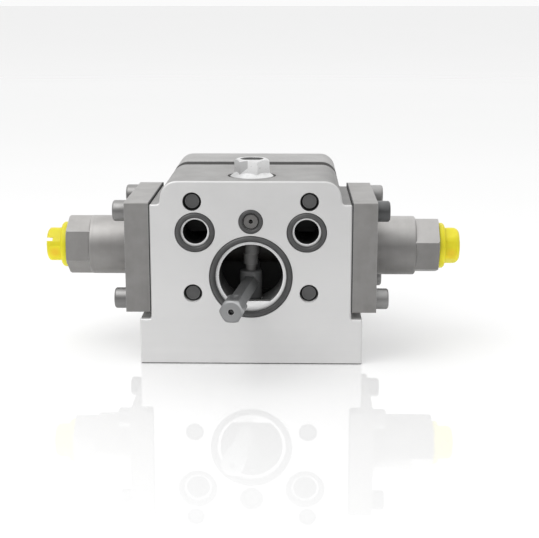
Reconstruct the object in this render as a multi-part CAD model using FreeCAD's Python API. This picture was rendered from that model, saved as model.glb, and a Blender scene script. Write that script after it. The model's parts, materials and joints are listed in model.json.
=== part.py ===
import FreeCAD, Part
import math
import os

# Hydraulic control valve with a mechanical feedback lever. Millimetres, Z up.
# X runs along the spool, the machined mounting face looks along -Y, and Z = 0 is the base.
# The origin lies on the base, under the middle of the spool axis.

Vector = FreeCAD.Vector
X_AXIS = Vector(1, 0, 0)
Y_AXIS = Vector(0, 1, 0)
Z_AXIS = Vector(0, 0, 1)

# Fits and gaps
RUNNING_GAP = 0.03
THREAD_GAP = 0.05
SEAL_GAP = 0.05
SLOT_GAP = 0.1

# Lever bore in the mounting face, with its seal counterbore. Its height sets all other heights.
LEVER_BORE_HEIGHT = 42.7
LEVER_BORE_RADIUS = 15.25
LEVER_BORE_DEPTH = 26.0
BORE_SEAT_WIDTH = 4.55
BORE_SEAT_DEPTH = 2.4
BORE_SEAL_SECTION = 3.0
SILL_GAP = 1.7
SILL_THICKNESS = 3.0

# Spool axis above the lever bore, its bore and the galleries round it
SPOOL_RISE = 9.0
SPOOL_BORE_RADIUS = 8.5
GALLERY_DEPTH = 2.0
GALLERY_WIDTH = 8.0

# Flange plates on the side pads, with their gaskets
FLANGE_SETBACK = 0.5
FLANGE_HEIGHT = 52.8
FLANGE_THICKNESS = 11.4
FLANGE_EDGE = 0.6
GASKET_THICKNESS = 0.6
GASKET_HOLE_MARGIN = 1.0

# Front block: foot, machined side pads and the cast top
PAD_WIDTH = 95.0
FOOT_OVERHANG = 5.5
FOOT_HEIGHT = 22.0
SHOULDER_LEDGE = 4.5
SHOULDER_DROP = 0.8
CAST_TAPER = 1.75
CAST_RISE = 11.1
CAST_CORNER_RADIUS = 8.0
SHOULDER_RADIUS = 1.5
LEDGE_RADIUS = 1.0
EDGE_RADIUS = 0.7
FACE_CHAMFER = 0.6
FRONT_DEPTH = 67.0
JOINT_GROOVE_FRONT_WIDTH = 8.5
JOINT_GROOVE_REAR_WIDTH = 1.0
JOINT_GROOVE_DEPTH = 3.0

# Rear block, cast, as wide as the cast top of the front one and a little taller
REAR_DEPTH = 37.0
REAR_EXTRA_HEIGHT = 0.3
REAR_EDGE_RADIUS = 2.0

# Chamber behind the lever bore, where the lever meets the feedback sleeve
CHAMBER_WIDTH = 34.0
CHAMBER_BELOW_SPOOL = 26.0
CHAMBER_ABOVE_SPOOL = 12.0
CHAMBER_BEHIND_SPOOL = 15.0
CHAMBER_CORNER_RADIUS = 5.0

# Four M8 through screws on the mounting pattern
PATTERN_WIDTH = 55.0
PATTERN_HEIGHT = 44.0
PATTERN_RISE = 14.0
SCREW_RADIUS = 4.0
SCREW_LENGTH = 95.0
SCREW_TIP_SUNK = 1.9
SCREW_TIP_CHAMFER = 0.5
SCREW_HEAD_RADIUS = 6.5
SCREW_HEAD_HEIGHT = 8.0
SCREW_SOCKET = 6.0
SCREW_SOCKET_DEPTH = 4.0
SCREW_HOLE_GAP = 0.2
SCREW_MOUTH_STEP = 0.2
SCREW_MOUTH_DEPTH = 1.4
SCREW_THREAD_DEPTH = 24.0
SCREW_SEAT_GAP = 0.6

# Two working ports and the drain port in the mounting face
PORT_SPREAD = 52.6
PORT_WEB = 0.7
PORT_RADIUS = 5.85
PORT_DEPTH = 26.5
PORT_SEAT_WIDTH = 3.65
PORT_SEAT_DEPTH = 2.2
PORT_SEAL_SECTION = 2.7
DRAIN_WEB = 0.9
DRAIN_RADIUS = 3.8
DRAIN_DEPTH = 11.0
DRAIN_SEAT_WIDTH = 2.0
DRAIN_SEAT_DEPTH = 1.5
DRAIN_SEAL_SECTION = 1.9
DRAIN_PASSAGE_RADIUS = 1.9
ORIFICE_PLUG_LENGTH = 6.0
ORIFICE_PLUG_SUNK = 0.9
ORIFICE_PLUG_CHAMFER = 0.5
ORIFICE_MOUTH_RADIUS = 1.1
ORIFICE_MOUTH_DEPTH = 3.0
ORIFICE_RADIUS = 0.5

# Passages from the galleries and the chamber into the rear block
PASSAGE_RADIUS = 1.9
PASSAGE_DEPTH = 24.0
PASSAGE_SEAT_WIDTH = 2.6
PASSAGE_SEAT_DEPTH = 1.5
PASSAGE_SEAL_SECTION = 1.9

# Four M6 screws in each flange plate
FLANGE_SCREW_SIDE_MARGIN = 8.0
FLANGE_SCREW_EDGE_MARGIN = 5.1
FLANGE_SCREW_RADIUS = 3.0
FLANGE_SCREW_HOLE_GAP = 0.3
FLANGE_SCREW_LENGTH = 20.0
FLANGE_SCREW_HEAD_RADIUS = 5.0
FLANGE_SCREW_HEAD_HEIGHT = 6.2
FLANGE_SCREW_SOCKET = 5.0
FLANGE_SCREW_SOCKET_DEPTH = 3.0
SCREW_HEAD_CHAMFER = 0.6
HOLE_BOTTOM_GAP = 1.5

# Spring caps: a turned sleeve with a hexagon end, screwed into the flange plate
SPRING_CHAMBER_RADIUS = 9.0
SPIGOT_WALL = 2.0
CAP_SPIGOT_LENGTH = 9.8
CAP_RADIUS = 14.5
CAP_LENGTH = 20.6
CAP_ROUND = 1.2
HEX_ACROSS = 25.0
HEX_LENGTH = 11.1
HEX_EDGE_BREAK = 0.7
HEX_CHAMFER_ANGLE = 30.0
LEFT_HEX_TURN = 6.0
RIGHT_HEX_TURN = 14.5
CAP_WALL = 2.4
PILOT_PASSAGE_RADIUS = 1.9
PILOT_PORT_RADIUS = 6.75
PILOT_PORT_DEPTH = 12.0
PILOT_PORT_CHAMFER = 0.8
CAP_SEAL_SECTION = 1.8
CAP_SEAL_RECESS_DEPTH = 1.5

# Plastic shipping plugs in the pilot ports
PLUG_STEM_LENGTH = 9.5
PLUG_STEM_WALL = 2.25
PLUG_FLANGE_RADIUS = 11.2
PLUG_FLANGE_THICKNESS = 3.4
PLUG_FLANGE_CHAMFER = 0.9
PLUG_HEX_ACROSS = 16.2
PLUG_HEX_LENGTH = 7.4
PLUG_HEAD_RADIUS = 8.8
PLUG_TIP_RADIUS = 6.9
PLUG_TIP_DROP = 1.2
PLUG_SLOT_WIDTH = 1.7
PLUG_SLOT_DEPTH = 3.4
PLUG_SLOT_OFFSET = 2.2
PLUG_FLAT_TURN = 30.0
LEFT_PLUG_TURN = 12.0
RIGHT_PLUG_TURN = -90.0

# Spool, its sleeve, the spring seats and the springs
SLEEVE_WALL = 3.0
SLEEVE_END_GAP = 7.5
SLEEVE_GROOVE_DEPTH = 1.1
SLEEVE_PORT_RADIUS = 1.6
SPOOL_OVERHANG = 3.0
SPOOL_NECK_DEPTH = 1.9
SPOOL_INNER_NECK_END = 12.0
SPOOL_OUTER_NECK_LENGTH = 9.0
SEAT_GAP = 0.8
SEAT_THICKNESS = 3.0
SEAT_BOSS_GAP = 1.4
SEAT_BOSS_LENGTH = 4.0
SPRING_GAP = 1.1
SPRING_WIRE = 2.0
SPRING_TURNS = 5
SPRING_STEPS_PER_TURN = 12

# Lever: hub on the eccentric journal, inner arm with its finger, and the screwed-in outer arm
PIVOT_DEPTH = 19.6
ECCENTRICITY = 0.6
LEVER_REST_ANGLE = -6.5
THRUST_WASHER_THICKNESS = 0.8
THRUST_WASHER_RADIUS = 5.0
FLOOR_SEAT_RADIUS = 6.0
HUB_RADIUS = 5.35
HUB_HEIGHT = 13.8
HUB_CHAMFER = 0.5
INNER_ARM_WIDTH = 6.0
INNER_ARM_THICKNESS = 5.5
INNER_ARM_GAP = 3.5
FINGER_RADIUS = 2.45
FINGER_END_GAP = 0.5
ARM_DROP = 6.7
ARM_ACROSS = 7.6
ARM_STUD_RADIUS = 2.0
ARM_STUD_START = 3.2
COLLAR_RADIUS = 4.7
COLLAR_LENGTH = 1.2
ARM_HEX_ACROSS = 10.0
ARM_HEX_LENGTH = 12.4
ARM_HEX_END_DROP = 0.8
ARM_TIP_REACH = 60.4
ARM_CENTRE_HOLE_RADIUS = 1.35
ARM_CENTRE_HOLE_DEPTH = 4.0

# Eccentric adjusting screw from the top, with its lock nut and sealing washer
ADJUSTER_RADIUS = 5.0
ADJUSTER_SUNK = 0.8
ADJUSTER_END_CHAMFER = 0.9
ADJUSTER_SLOT_WIDTH = 1.6
ADJUSTER_SLOT_DEPTH = 2.0
SHANK_RADIUS = 3.45
ECCENTRIC_LENGTH = 5.1
ECCENTRIC_GAP = 3.2
JOURNAL_RADIUS = 2.5
PILOT_PIN_RADIUS = 1.7
PILOT_PIN_DEPTH = 4.5
NUT_ACROSS = 15.0
NUT_HEIGHT = 9.0
NUT_TURN = 49.5
NUT_FLANGE_RADIUS = 10.4
NUT_FLANGE_RIM = 1.0
NUT_CONE_TOP_RADIUS = 7.6
NUT_CONE_HEIGHT = 2.8
SPOTFACE_MARGIN = 1.3
SPOTFACE_DEPTH = 1.7
SEAL_WASHER_THICKNESS = 0.8
SEAL_WASHER_MARGIN = 1.9

# Heights that follow
BORE_FLOOR = LEVER_BORE_HEIGHT - LEVER_BORE_RADIUS
BORE_ROOF = LEVER_BORE_HEIGHT + LEVER_BORE_RADIUS
BORE_SEAT_RADIUS = LEVER_BORE_RADIUS + BORE_SEAT_WIDTH
SPOOL_HEIGHT = LEVER_BORE_HEIGHT + SPOOL_RISE
SPOOL_CENTRE = Vector(0, 0, SPOOL_HEIGHT)
SHOULDER_HEIGHT = SPOOL_HEIGHT + FLANGE_HEIGHT / 2 - SHOULDER_DROP
TOP_HEIGHT = SHOULDER_HEIGHT + CAST_RISE
CHAMBER_FLOOR = SPOOL_HEIGHT - CHAMBER_BELOW_SPOOL
CHAMBER_ROOF = SPOOL_HEIGHT + CHAMBER_ABOVE_SPOOL
PATTERN_CENTRE_HEIGHT = LEVER_BORE_HEIGHT + PATTERN_RISE
PATTERN_TOP = PATTERN_CENTRE_HEIGHT + PATTERN_HEIGHT / 2
SPOTFACE_FLOOR = TOP_HEIGHT - SPOTFACE_DEPTH
NUT_BOTTOM = SPOTFACE_FLOOR + SEAL_WASHER_THICKNESS
NUT_TOP = NUT_BOTTOM + NUT_HEIGHT
ADJUSTER_TOP = NUT_TOP - ADJUSTER_SUNK

# Radii that follow
SCREW_HOLE_RADIUS = SCREW_RADIUS + SCREW_HOLE_GAP
SCREW_MOUTH_RADIUS = SCREW_HOLE_RADIUS + SCREW_MOUTH_STEP
FLANGE_SCREW_HOLE_RADIUS = FLANGE_SCREW_RADIUS + FLANGE_SCREW_HOLE_GAP
PORT_SEAT_RADIUS = PORT_RADIUS + PORT_SEAT_WIDTH
DRAIN_SEAT_RADIUS = DRAIN_RADIUS + DRAIN_SEAT_WIDTH
PASSAGE_SEAT_RADIUS = PASSAGE_RADIUS + PASSAGE_SEAT_WIDTH
GALLERY_RADIUS = SPOOL_BORE_RADIUS + GALLERY_DEPTH
SLEEVE_RADIUS = SPOOL_BORE_RADIUS - RUNNING_GAP
SPOOL_RADIUS = SPOOL_BORE_RADIUS - SLEEVE_WALL
SPOOL_NECK_RADIUS = SPOOL_RADIUS - SPOOL_NECK_DEPTH
CAP_SPIGOT_RADIUS = SPRING_CHAMBER_RADIUS + SPIGOT_WALL
GASKET_HOLE_RADIUS = SPRING_CHAMBER_RADIUS + GASKET_HOLE_MARGIN
SEAT_RADIUS = SPRING_CHAMBER_RADIUS - SEAT_GAP
SPRING_OUTER_RADIUS = SPRING_CHAMBER_RADIUS - SPRING_GAP
SPRING_INNER_RADIUS = SPRING_OUTER_RADIUS - SPRING_WIRE
SEAT_BOSS_RADIUS = SPRING_INNER_RADIUS - SEAT_BOSS_GAP
SPOTFACE_RADIUS = NUT_FLANGE_RADIUS + SPOTFACE_MARGIN
SEAL_WASHER_RADIUS = NUT_FLANGE_RADIUS - SEAL_WASHER_MARGIN

# Heights of the ports, the lever and its screw that follow
PORT_HEIGHT = PATTERN_TOP - SCREW_MOUTH_RADIUS - PORT_WEB - PORT_SEAT_RADIUS
DRAIN_HEIGHT = LEVER_BORE_HEIGHT + BORE_SEAT_RADIUS + DRAIN_WEB + DRAIN_SEAT_RADIUS
HUB_BOTTOM = BORE_FLOOR + THRUST_WASHER_THICKNESS + RUNNING_GAP
HUB_TOP = HUB_BOTTOM + HUB_HEIGHT
ECCENTRIC_BOTTOM = HUB_TOP + ECCENTRIC_GAP
ECCENTRIC_TOP = ECCENTRIC_BOTTOM + ECCENTRIC_LENGTH
INNER_ARM_TOP = SPOOL_HEIGHT - SPOOL_BORE_RADIUS - INNER_ARM_GAP
INNER_ARM_BOTTOM = INNER_ARM_TOP - INNER_ARM_THICKNESS
FINGER_TOP = SPOOL_HEIGHT - SPOOL_RADIUS - FINGER_END_GAP
ARM_HEIGHT = LEVER_BORE_HEIGHT - ARM_DROP
SILL_HEIGHT = ARM_HEIGHT - ARM_ACROSS / 2 - SILL_GAP

# Places along Y that follow
FRONT_Y = -FRONT_DEPTH / 2
JOINT_Y = FRONT_Y + FRONT_DEPTH
REAR_Y = JOINT_Y + REAR_DEPTH
FLANGE_DEPTH = FRONT_DEPTH - 2 * FLANGE_SETBACK
SCREW_TIP_Y = FRONT_Y + SCREW_TIP_SUNK
SCREW_SEAT_Y = SCREW_TIP_Y + SCREW_LENGTH
PIVOT_Y = FRONT_Y + PIVOT_DEPTH

# Places along X that follow
PAD_X = PAD_WIDTH / 2
FOOT_X = PAD_X + FOOT_OVERHANG
CAST_X = PAD_X - SHOULDER_LEDGE
CAST_TOP_X = CAST_X - CAST_TAPER
FLANGE_X = PAD_X + GASKET_THICKNESS
CAP_X = FLANGE_X + FLANGE_THICKNESS
HEX_X = CAP_X + CAP_LENGTH
CAP_END_X = HEX_X + HEX_LENGTH
PILOT_PORT_FLOOR_X = CAP_END_X - PILOT_PORT_DEPTH
CHAMBER_END_X = PILOT_PORT_FLOOR_X - CAP_WALL
SPOOL_END_X = PAD_X + SPOOL_OVERHANG
SLEEVE_LENGTH = PAD_WIDTH - 2 * SLEEVE_END_GAP
PIVOT_X = -ECCENTRICITY
SLEEVE_X = PIVOT_X + PIVOT_Y * math.sin(math.radians(LEVER_REST_ANGLE))

# Screw patterns that follow
FLANGE_SCREW_SPREAD = FLANGE_DEPTH - 2 * FLANGE_SCREW_SIDE_MARGIN
FLANGE_SCREW_RISE = FLANGE_HEIGHT - 2 * FLANGE_SCREW_EDGE_MARGIN


def outline_face(corners, place):
    """Face inside a closed outline. A corner is (u, v, radius), and place puts (u, v) in space."""
    arrivals = []
    departures = []
    middles = []
    for index, (u, v, radius) in enumerate(corners):
        corner = Vector(u, v, 0)
        before = Vector(*corners[index - 1][:2], 0) - corner
        after = Vector(*corners[(index + 1) % len(corners)][:2], 0) - corner
        before.normalize()
        after.normalize()
        half_angle = before.getAngle(after) / 2
        reach = radius / math.tan(half_angle)
        bisector = before + after
        if radius > 0:
            bisector.normalize()
            middles.append(corner + bisector * (radius / math.sin(half_angle) - radius))
        else:
            middles.append(None)
        arrivals.append(corner + before * reach)
        departures.append(corner + after * reach)
    edges = []
    for index, middle in enumerate(middles):
        if middle is not None:
            points = [place(p.x, p.y) for p in (arrivals[index], middle, departures[index])]
            edges.append(Part.Arc(*points).toShape())
        start = place(departures[index].x, departures[index].y)
        end = place(arrivals[(index + 1) % len(corners)].x, arrivals[(index + 1) % len(corners)].y)
        if start.distanceToPoint(end) > 1e-6:
            edges.append(Part.LineSegment(start, end).toShape())
    return Part.Face(Part.Wire(edges))


def prism_along_y(corners, start_y, length):
    """Outline in X and Z, carried back along Y."""
    face = outline_face(corners, lambda x, z: Vector(x, start_y, z))
    return face.extrude(Y_AXIS * length)


def lathe(corners, origin, axis):
    """Turned solid. A corner is (distance along the axis, radius, rounding)."""
    face = outline_face(corners, lambda along, radius: Vector(radius, 0, along))
    solid = face.revolve(Vector(0, 0, 0), Z_AXIS, 360)
    solid.Placement = FreeCAD.Placement(origin, FreeCAD.Rotation(Z_AXIS, axis))
    return solid


def hexagon(across, length, origin, axis, turn):
    """Hexagon bar from origin along axis, turned about it."""
    corner_radius = across / math.sqrt(3)
    angles = [math.radians(turn + 60 * step) for step in range(7)]
    points = [Vector(corner_radius * math.cos(a), corner_radius * math.sin(a), 0) for a in angles]
    bar = Part.Face(Part.makePolygon(points)).extrude(Z_AXIS * length)
    bar.Placement = FreeCAD.Placement(origin, FreeCAD.Rotation(Z_AXIS, axis))
    return bar


def ring(outer_radius, section, origin, axis):
    """Seal ring with an eight-sided section, its front and outside where the round one has them."""
    middle = outer_radius - section / 2
    corner_reach = section / 2 / math.cos(math.pi / 8)
    angles = [math.pi / 8 + step * math.pi / 4 for step in range(8)]
    corners = [(corner_reach * math.sin(a), middle + corner_reach * math.cos(a), 0) for a in angles]
    return lathe(corners, origin, axis)


def seated_ring(seat_radius, seat_depth, section, x, z):
    """Seal ring in a counterbore of the mounting face, standing a little proud of it."""
    centre = Vector(x, FRONT_Y + seat_depth - section / 2 - SEAL_GAP, z)
    return ring(seat_radius - SEAL_GAP, section, centre, Y_AXIS)


def corner_spots(spread_u, spread_v):
    """Four offsets of a rectangular pattern."""
    return [(u * spread_u / 2, v * spread_v / 2) for u in (-1, 1) for v in (-1, 1)]


def mirrored(half):
    """Closed outline from its right half, listed from the bottom up."""
    return half + [(-x, z, radius) for x, z, radius in reversed(half)]


def front_outline(groove):
    """Right half of the front block's outline, its cast top set in by the groove."""
    return [
        (FOOT_X, 0, EDGE_RADIUS),
        (FOOT_X, FOOT_HEIGHT, EDGE_RADIUS),
        (PAD_X, FOOT_HEIGHT, LEDGE_RADIUS),
        (PAD_X, SHOULDER_HEIGHT - groove, EDGE_RADIUS),
        (CAST_X - groove, SHOULDER_HEIGHT - groove, SHOULDER_RADIUS),
        (CAST_TOP_X - groove, TOP_HEIGHT - groove, CAST_CORNER_RADIUS),
    ]


def rear_outline(groove):
    """Right half of the rear block's outline, its cast top set in by the groove."""
    top = TOP_HEIGHT + REAR_EXTRA_HEIGHT - groove
    return [
        (FOOT_X, 0, EDGE_RADIUS),
        (FOOT_X, FOOT_HEIGHT, EDGE_RADIUS),
        (CAST_X - groove, FOOT_HEIGHT, LEDGE_RADIUS),
        (CAST_X - groove, SHOULDER_HEIGHT, 0),
        (CAST_TOP_X - groove, top, CAST_CORNER_RADIUS),
    ]


def edges_in_plane_y(shape, y):
    """Edges of a shape that lie in the plane at y."""
    limit = 1e-4
    return [e for e in shape.Edges if abs(e.BoundBox.YMin - y) < limit and abs(e.BoundBox.YMax - y) < limit]


def lever_bore_cut():
    """Round bore behind the mounting face, closed at the bottom of its mouth by the sill."""
    face_point = Vector(0, FRONT_Y, LEVER_BORE_HEIGHT)
    bore = Part.makeCylinder(LEVER_BORE_RADIUS, LEVER_BORE_DEPTH, face_point, Y_AXIS)
    sill_corner = Vector(-LEVER_BORE_RADIUS, FRONT_Y, SILL_HEIGHT - LEVER_BORE_RADIUS)
    sill_depth = BORE_SEAT_DEPTH + SILL_THICKNESS
    sill = Part.makeBox(2 * LEVER_BORE_RADIUS, sill_depth, LEVER_BORE_RADIUS, sill_corner)
    seat = Part.makeCylinder(BORE_SEAT_RADIUS, BORE_SEAT_DEPTH, face_point, Y_AXIS)
    return bore.cut(sill).fuse(seat)


def chamber_cut():
    """Cast chamber behind the lever bore."""
    half = [
        (CHAMBER_WIDTH / 2, CHAMBER_FLOOR, CHAMBER_CORNER_RADIUS),
        (CHAMBER_WIDTH / 2, CHAMBER_ROOF, CHAMBER_CORNER_RADIUS),
    ]
    start_y = FRONT_Y + LEVER_BORE_DEPTH
    return prism_along_y(mirrored(half), start_y, CHAMBER_BEHIND_SPOOL - start_y)


def spool_bore_cut():
    """Bore for the feedback sleeve, with a gallery where each port comes in."""
    cuts = Part.makeCylinder(SPOOL_BORE_RADIUS, PAD_WIDTH, SPOOL_CENTRE - X_AXIS * PAD_X, X_AXIS)
    for side in (-1, 1):
        start = SPOOL_CENTRE + X_AXIS * (side * PORT_SPREAD / 2 - GALLERY_WIDTH / 2)
        cuts = cuts.fuse(Part.makeCylinder(GALLERY_RADIUS, GALLERY_WIDTH, start, X_AXIS))
        behind = Vector(side * PORT_SPREAD / 2, 0, SPOOL_HEIGHT)
        cuts = cuts.fuse(Part.makeCylinder(PASSAGE_RADIUS, JOINT_Y, behind, Y_AXIS))
    return cuts.fuse(Part.makeCylinder(PASSAGE_RADIUS, JOINT_Y, SPOOL_CENTRE, Y_AXIS))


def port_cuts():
    """The two working ports and the drain port, each with a seal counterbore."""
    cuts = []
    for side in (-1, 1):
        mouth = Vector(side * PORT_SPREAD / 2, FRONT_Y, PORT_HEIGHT)
        cuts.append(Part.makeCylinder(PORT_RADIUS, PORT_DEPTH, mouth, Y_AXIS))
        cuts.append(Part.makeCylinder(PORT_SEAT_RADIUS, PORT_SEAT_DEPTH, mouth, Y_AXIS))
    mouth = Vector(0, FRONT_Y, DRAIN_HEIGHT)
    cuts.append(Part.makeCylinder(DRAIN_RADIUS, DRAIN_DEPTH, mouth, Y_AXIS))
    cuts.append(Part.makeCylinder(DRAIN_SEAT_RADIUS, DRAIN_SEAT_DEPTH, mouth, Y_AXIS))
    drop = mouth + Y_AXIS * (DRAIN_DEPTH - DRAIN_PASSAGE_RADIUS)
    fall = DRAIN_HEIGHT - LEVER_BORE_HEIGHT
    cuts.append(Part.makeCylinder(DRAIN_PASSAGE_RADIUS, fall, drop, -Z_AXIS))
    return cuts


def through_screw_cuts():
    """Holes for the four M8 screws: mouth, clearance and thread."""
    cuts = []
    for x, rise in corner_spots(PATTERN_WIDTH, PATTERN_HEIGHT):
        mouth = Vector(x, FRONT_Y, PATTERN_CENTRE_HEIGHT + rise)
        clear_depth = FRONT_DEPTH - SCREW_THREAD_DEPTH
        thread_start = mouth + Y_AXIS * clear_depth
        cuts.append(Part.makeCylinder(SCREW_MOUTH_RADIUS, SCREW_MOUTH_DEPTH, mouth, Y_AXIS))
        cuts.append(Part.makeCylinder(SCREW_HOLE_RADIUS, clear_depth, mouth, Y_AXIS))
        thread_radius = SCREW_RADIUS + THREAD_GAP
        cuts.append(Part.makeCylinder(thread_radius, SCREW_THREAD_DEPTH, thread_start, Y_AXIS))
    return cuts


def flange_screw_cuts():
    """Tapped holes in both side pads."""
    depth = FLANGE_SCREW_LENGTH - FLANGE_THICKNESS - GASKET_THICKNESS + HOLE_BOTTOM_GAP
    cuts = []
    for side in (-1, 1):
        for y, rise in corner_spots(FLANGE_SCREW_SPREAD, FLANGE_SCREW_RISE):
            mouth = Vector(side * PAD_X, y, SPOOL_HEIGHT + rise)
            radius = FLANGE_SCREW_RADIUS + THREAD_GAP
            cuts.append(Part.makeCylinder(radius, depth, mouth, X_AXIS * -side))
    return cuts


def adjuster_cuts():
    """Tapped hole and spotface for the eccentric screw, and its pilot in the bore's floor."""
    top = Vector(0, PIVOT_Y, TOP_HEIGHT)
    thread = Part.makeCylinder(ADJUSTER_RADIUS + THREAD_GAP, TOP_HEIGHT - LEVER_BORE_HEIGHT, top, -Z_AXIS)
    spotface = Part.makeCylinder(SPOTFACE_RADIUS, SPOTFACE_DEPTH, top, -Z_AXIS)
    floor = Vector(0, PIVOT_Y, BORE_FLOOR)
    washer_seat = Vector(PIVOT_X, PIVOT_Y, BORE_FLOOR)
    seat = Part.makeCylinder(FLOOR_SEAT_RADIUS, LEVER_BORE_RADIUS, washer_seat, Z_AXIS)
    pilot_depth = PILOT_PIN_DEPTH + HOLE_BOTTOM_GAP
    pilot = Part.makeCylinder(PILOT_PIN_RADIUS + RUNNING_GAP, pilot_depth, floor, -Z_AXIS)
    return [thread, spotface, seat, pilot]


def valve_body():
    """Front block with every bore in it."""
    blank = prism_along_y(mirrored(front_outline(0)), FRONT_Y, FRONT_DEPTH - JOINT_GROOVE_FRONT_WIDTH)
    blank = blank.makeChamfer(FACE_CHAMFER, edges_in_plane_y(blank, FRONT_Y))
    neck_y = JOINT_Y - JOINT_GROOVE_FRONT_WIDTH
    neck_outline = mirrored(front_outline(JOINT_GROOVE_DEPTH))
    neck = prism_along_y(neck_outline, neck_y, JOINT_GROOVE_FRONT_WIDTH)
    body = blank.fuse(neck)
    cuts = [lever_bore_cut(), chamber_cut(), spool_bore_cut()]
    cuts += port_cuts() + through_screw_cuts() + flange_screw_cuts() + adjuster_cuts()
    return body.cut(cuts).removeSplitter()


def rear_block():
    """Rear block with counterbored screw holes and the passages that meet the front block."""
    neck_outline = mirrored(rear_outline(JOINT_GROOVE_DEPTH))
    neck = prism_along_y(neck_outline, JOINT_Y, JOINT_GROOVE_REAR_WIDTH)
    main_y = JOINT_Y + JOINT_GROOVE_REAR_WIDTH
    main = prism_along_y(mirrored(rear_outline(0)), main_y, REAR_DEPTH - JOINT_GROOVE_REAR_WIDTH)
    rounded = [e for e in edges_in_plane_y(main, REAR_Y) if e.BoundBox.ZMin > FOOT_HEIGHT]
    main = main.makeFillet(REAR_EDGE_RADIUS, rounded)
    cuts = []
    for x, rise in corner_spots(PATTERN_WIDTH, PATTERN_HEIGHT):
        start = Vector(x, JOINT_Y, PATTERN_CENTRE_HEIGHT + rise)
        seat = Vector(x, SCREW_SEAT_Y, start.z)
        seat_radius = SCREW_HEAD_RADIUS + SCREW_SEAT_GAP
        cuts.append(Part.makeCylinder(SCREW_HOLE_RADIUS, REAR_DEPTH, start, Y_AXIS))
        cuts.append(Part.makeCylinder(seat_radius, REAR_DEPTH, seat, Y_AXIS))
    for x in (-PORT_SPREAD / 2, 0, PORT_SPREAD / 2):
        mouth = Vector(x, JOINT_Y, SPOOL_HEIGHT)
        cuts.append(Part.makeCylinder(PASSAGE_RADIUS, PASSAGE_DEPTH, mouth, Y_AXIS))
        cuts.append(Part.makeCylinder(PASSAGE_SEAT_RADIUS, PASSAGE_SEAT_DEPTH, mouth, Y_AXIS))
    return neck.fuse(main).cut(cuts).removeSplitter()


def block_seal_rings():
    """Seal rings squeezed flat between the blocks, one round each passage."""
    outer = PASSAGE_SEAT_RADIUS - SEAL_GAP
    inner = outer - PASSAGE_SEAL_SECTION
    profile = [(0, inner, 0), (0, outer, 0), (PASSAGE_SEAT_DEPTH, outer, 0), (PASSAGE_SEAT_DEPTH, inner, 0)]
    centres = [Vector(x, JOINT_Y, SPOOL_HEIGHT) for x in (-PORT_SPREAD / 2, 0, PORT_SPREAD / 2)]
    return Part.makeCompound([lathe(profile, centre, Y_AXIS) for centre in centres])


def socket_screw(radius, length, head_radius, head_height, socket, socket_depth, tip_chamfer):
    """Socket head cap screw along +Z, the underside of its head at the origin and its tip below."""
    profile = [
        (-length, 0, 0),
        (-length, radius - tip_chamfer, 0),
        (-length + tip_chamfer, radius, 0),
        (0, radius, 0),
        (0, head_radius, 0),
        (head_height - SCREW_HEAD_CHAMFER, head_radius, 0),
        (head_height, head_radius - SCREW_HEAD_CHAMFER, 0),
        (head_height, 0, 0),
    ]
    screw = lathe(profile, Vector(0, 0, 0), Z_AXIS)
    base = Vector(0, 0, head_height - socket_depth)
    return screw.cut(hexagon(socket, socket_depth, base, Z_AXIS, 0))


def placed(shape, origin, axis):
    """Copy of a shape made along +Z, moved to origin and pointed along axis."""
    copy = shape.copy()
    copy.Placement = FreeCAD.Placement(origin, FreeCAD.Rotation(Z_AXIS, axis))
    return copy


def mounting_screws():
    """Four M8 screws through both blocks, heads behind, tips just behind the mounting face."""
    screw = socket_screw(
        SCREW_RADIUS,
        SCREW_LENGTH,
        SCREW_HEAD_RADIUS,
        SCREW_HEAD_HEIGHT,
        SCREW_SOCKET,
        SCREW_SOCKET_DEPTH,
        SCREW_TIP_CHAMFER,
    )
    screws = []
    for x, rise in corner_spots(PATTERN_WIDTH, PATTERN_HEIGHT):
        seat = Vector(x, SCREW_SEAT_Y, PATTERN_CENTRE_HEIGHT + rise)
        screws.append(placed(screw, seat, Y_AXIS))
    return Part.makeCompound(screws)


def flange_screws(side):
    """Four M6 screws that hold one flange plate."""
    screw = socket_screw(
        FLANGE_SCREW_RADIUS,
        FLANGE_SCREW_LENGTH,
        FLANGE_SCREW_HEAD_RADIUS,
        FLANGE_SCREW_HEAD_HEIGHT,
        FLANGE_SCREW_SOCKET,
        FLANGE_SCREW_SOCKET_DEPTH,
        SCREW_TIP_CHAMFER,
    )
    screws = []
    for y, rise in corner_spots(FLANGE_SCREW_SPREAD, FLANGE_SCREW_RISE):
        seat = Vector(side * CAP_X, y, SPOOL_HEIGHT + rise)
        screws.append(placed(screw, seat, X_AXIS * side))
    return Part.makeCompound(screws)


def side_plate(side, inner_x, thickness, edge):
    """Rectangular plate on a side pad, standing outwards from inner_x."""
    corners = [(y, z, edge) for y, z in (
        (-FLANGE_DEPTH / 2, SPOOL_HEIGHT - FLANGE_HEIGHT / 2),
        (FLANGE_DEPTH / 2, SPOOL_HEIGHT - FLANGE_HEIGHT / 2),
        (FLANGE_DEPTH / 2, SPOOL_HEIGHT + FLANGE_HEIGHT / 2),
        (-FLANGE_DEPTH / 2, SPOOL_HEIGHT + FLANGE_HEIGHT / 2),
    )]
    face = outline_face(corners, lambda y, z: Vector(side * inner_x, y, z))
    return face.extrude(X_AXIS * (side * thickness))


def side_holes(side, inner_x, thickness, centre_radius):
    """Centre hole and screw holes of a plate on a side pad."""
    axis = X_AXIS * side
    cuts = [Part.makeCylinder(centre_radius, thickness, Vector(side * inner_x, 0, SPOOL_HEIGHT), axis)]
    for y, rise in corner_spots(FLANGE_SCREW_SPREAD, FLANGE_SCREW_RISE):
        start = Vector(side * inner_x, y, SPOOL_HEIGHT + rise)
        cuts.append(Part.makeCylinder(FLANGE_SCREW_HOLE_RADIUS, thickness, start, axis))
    return cuts


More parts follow.
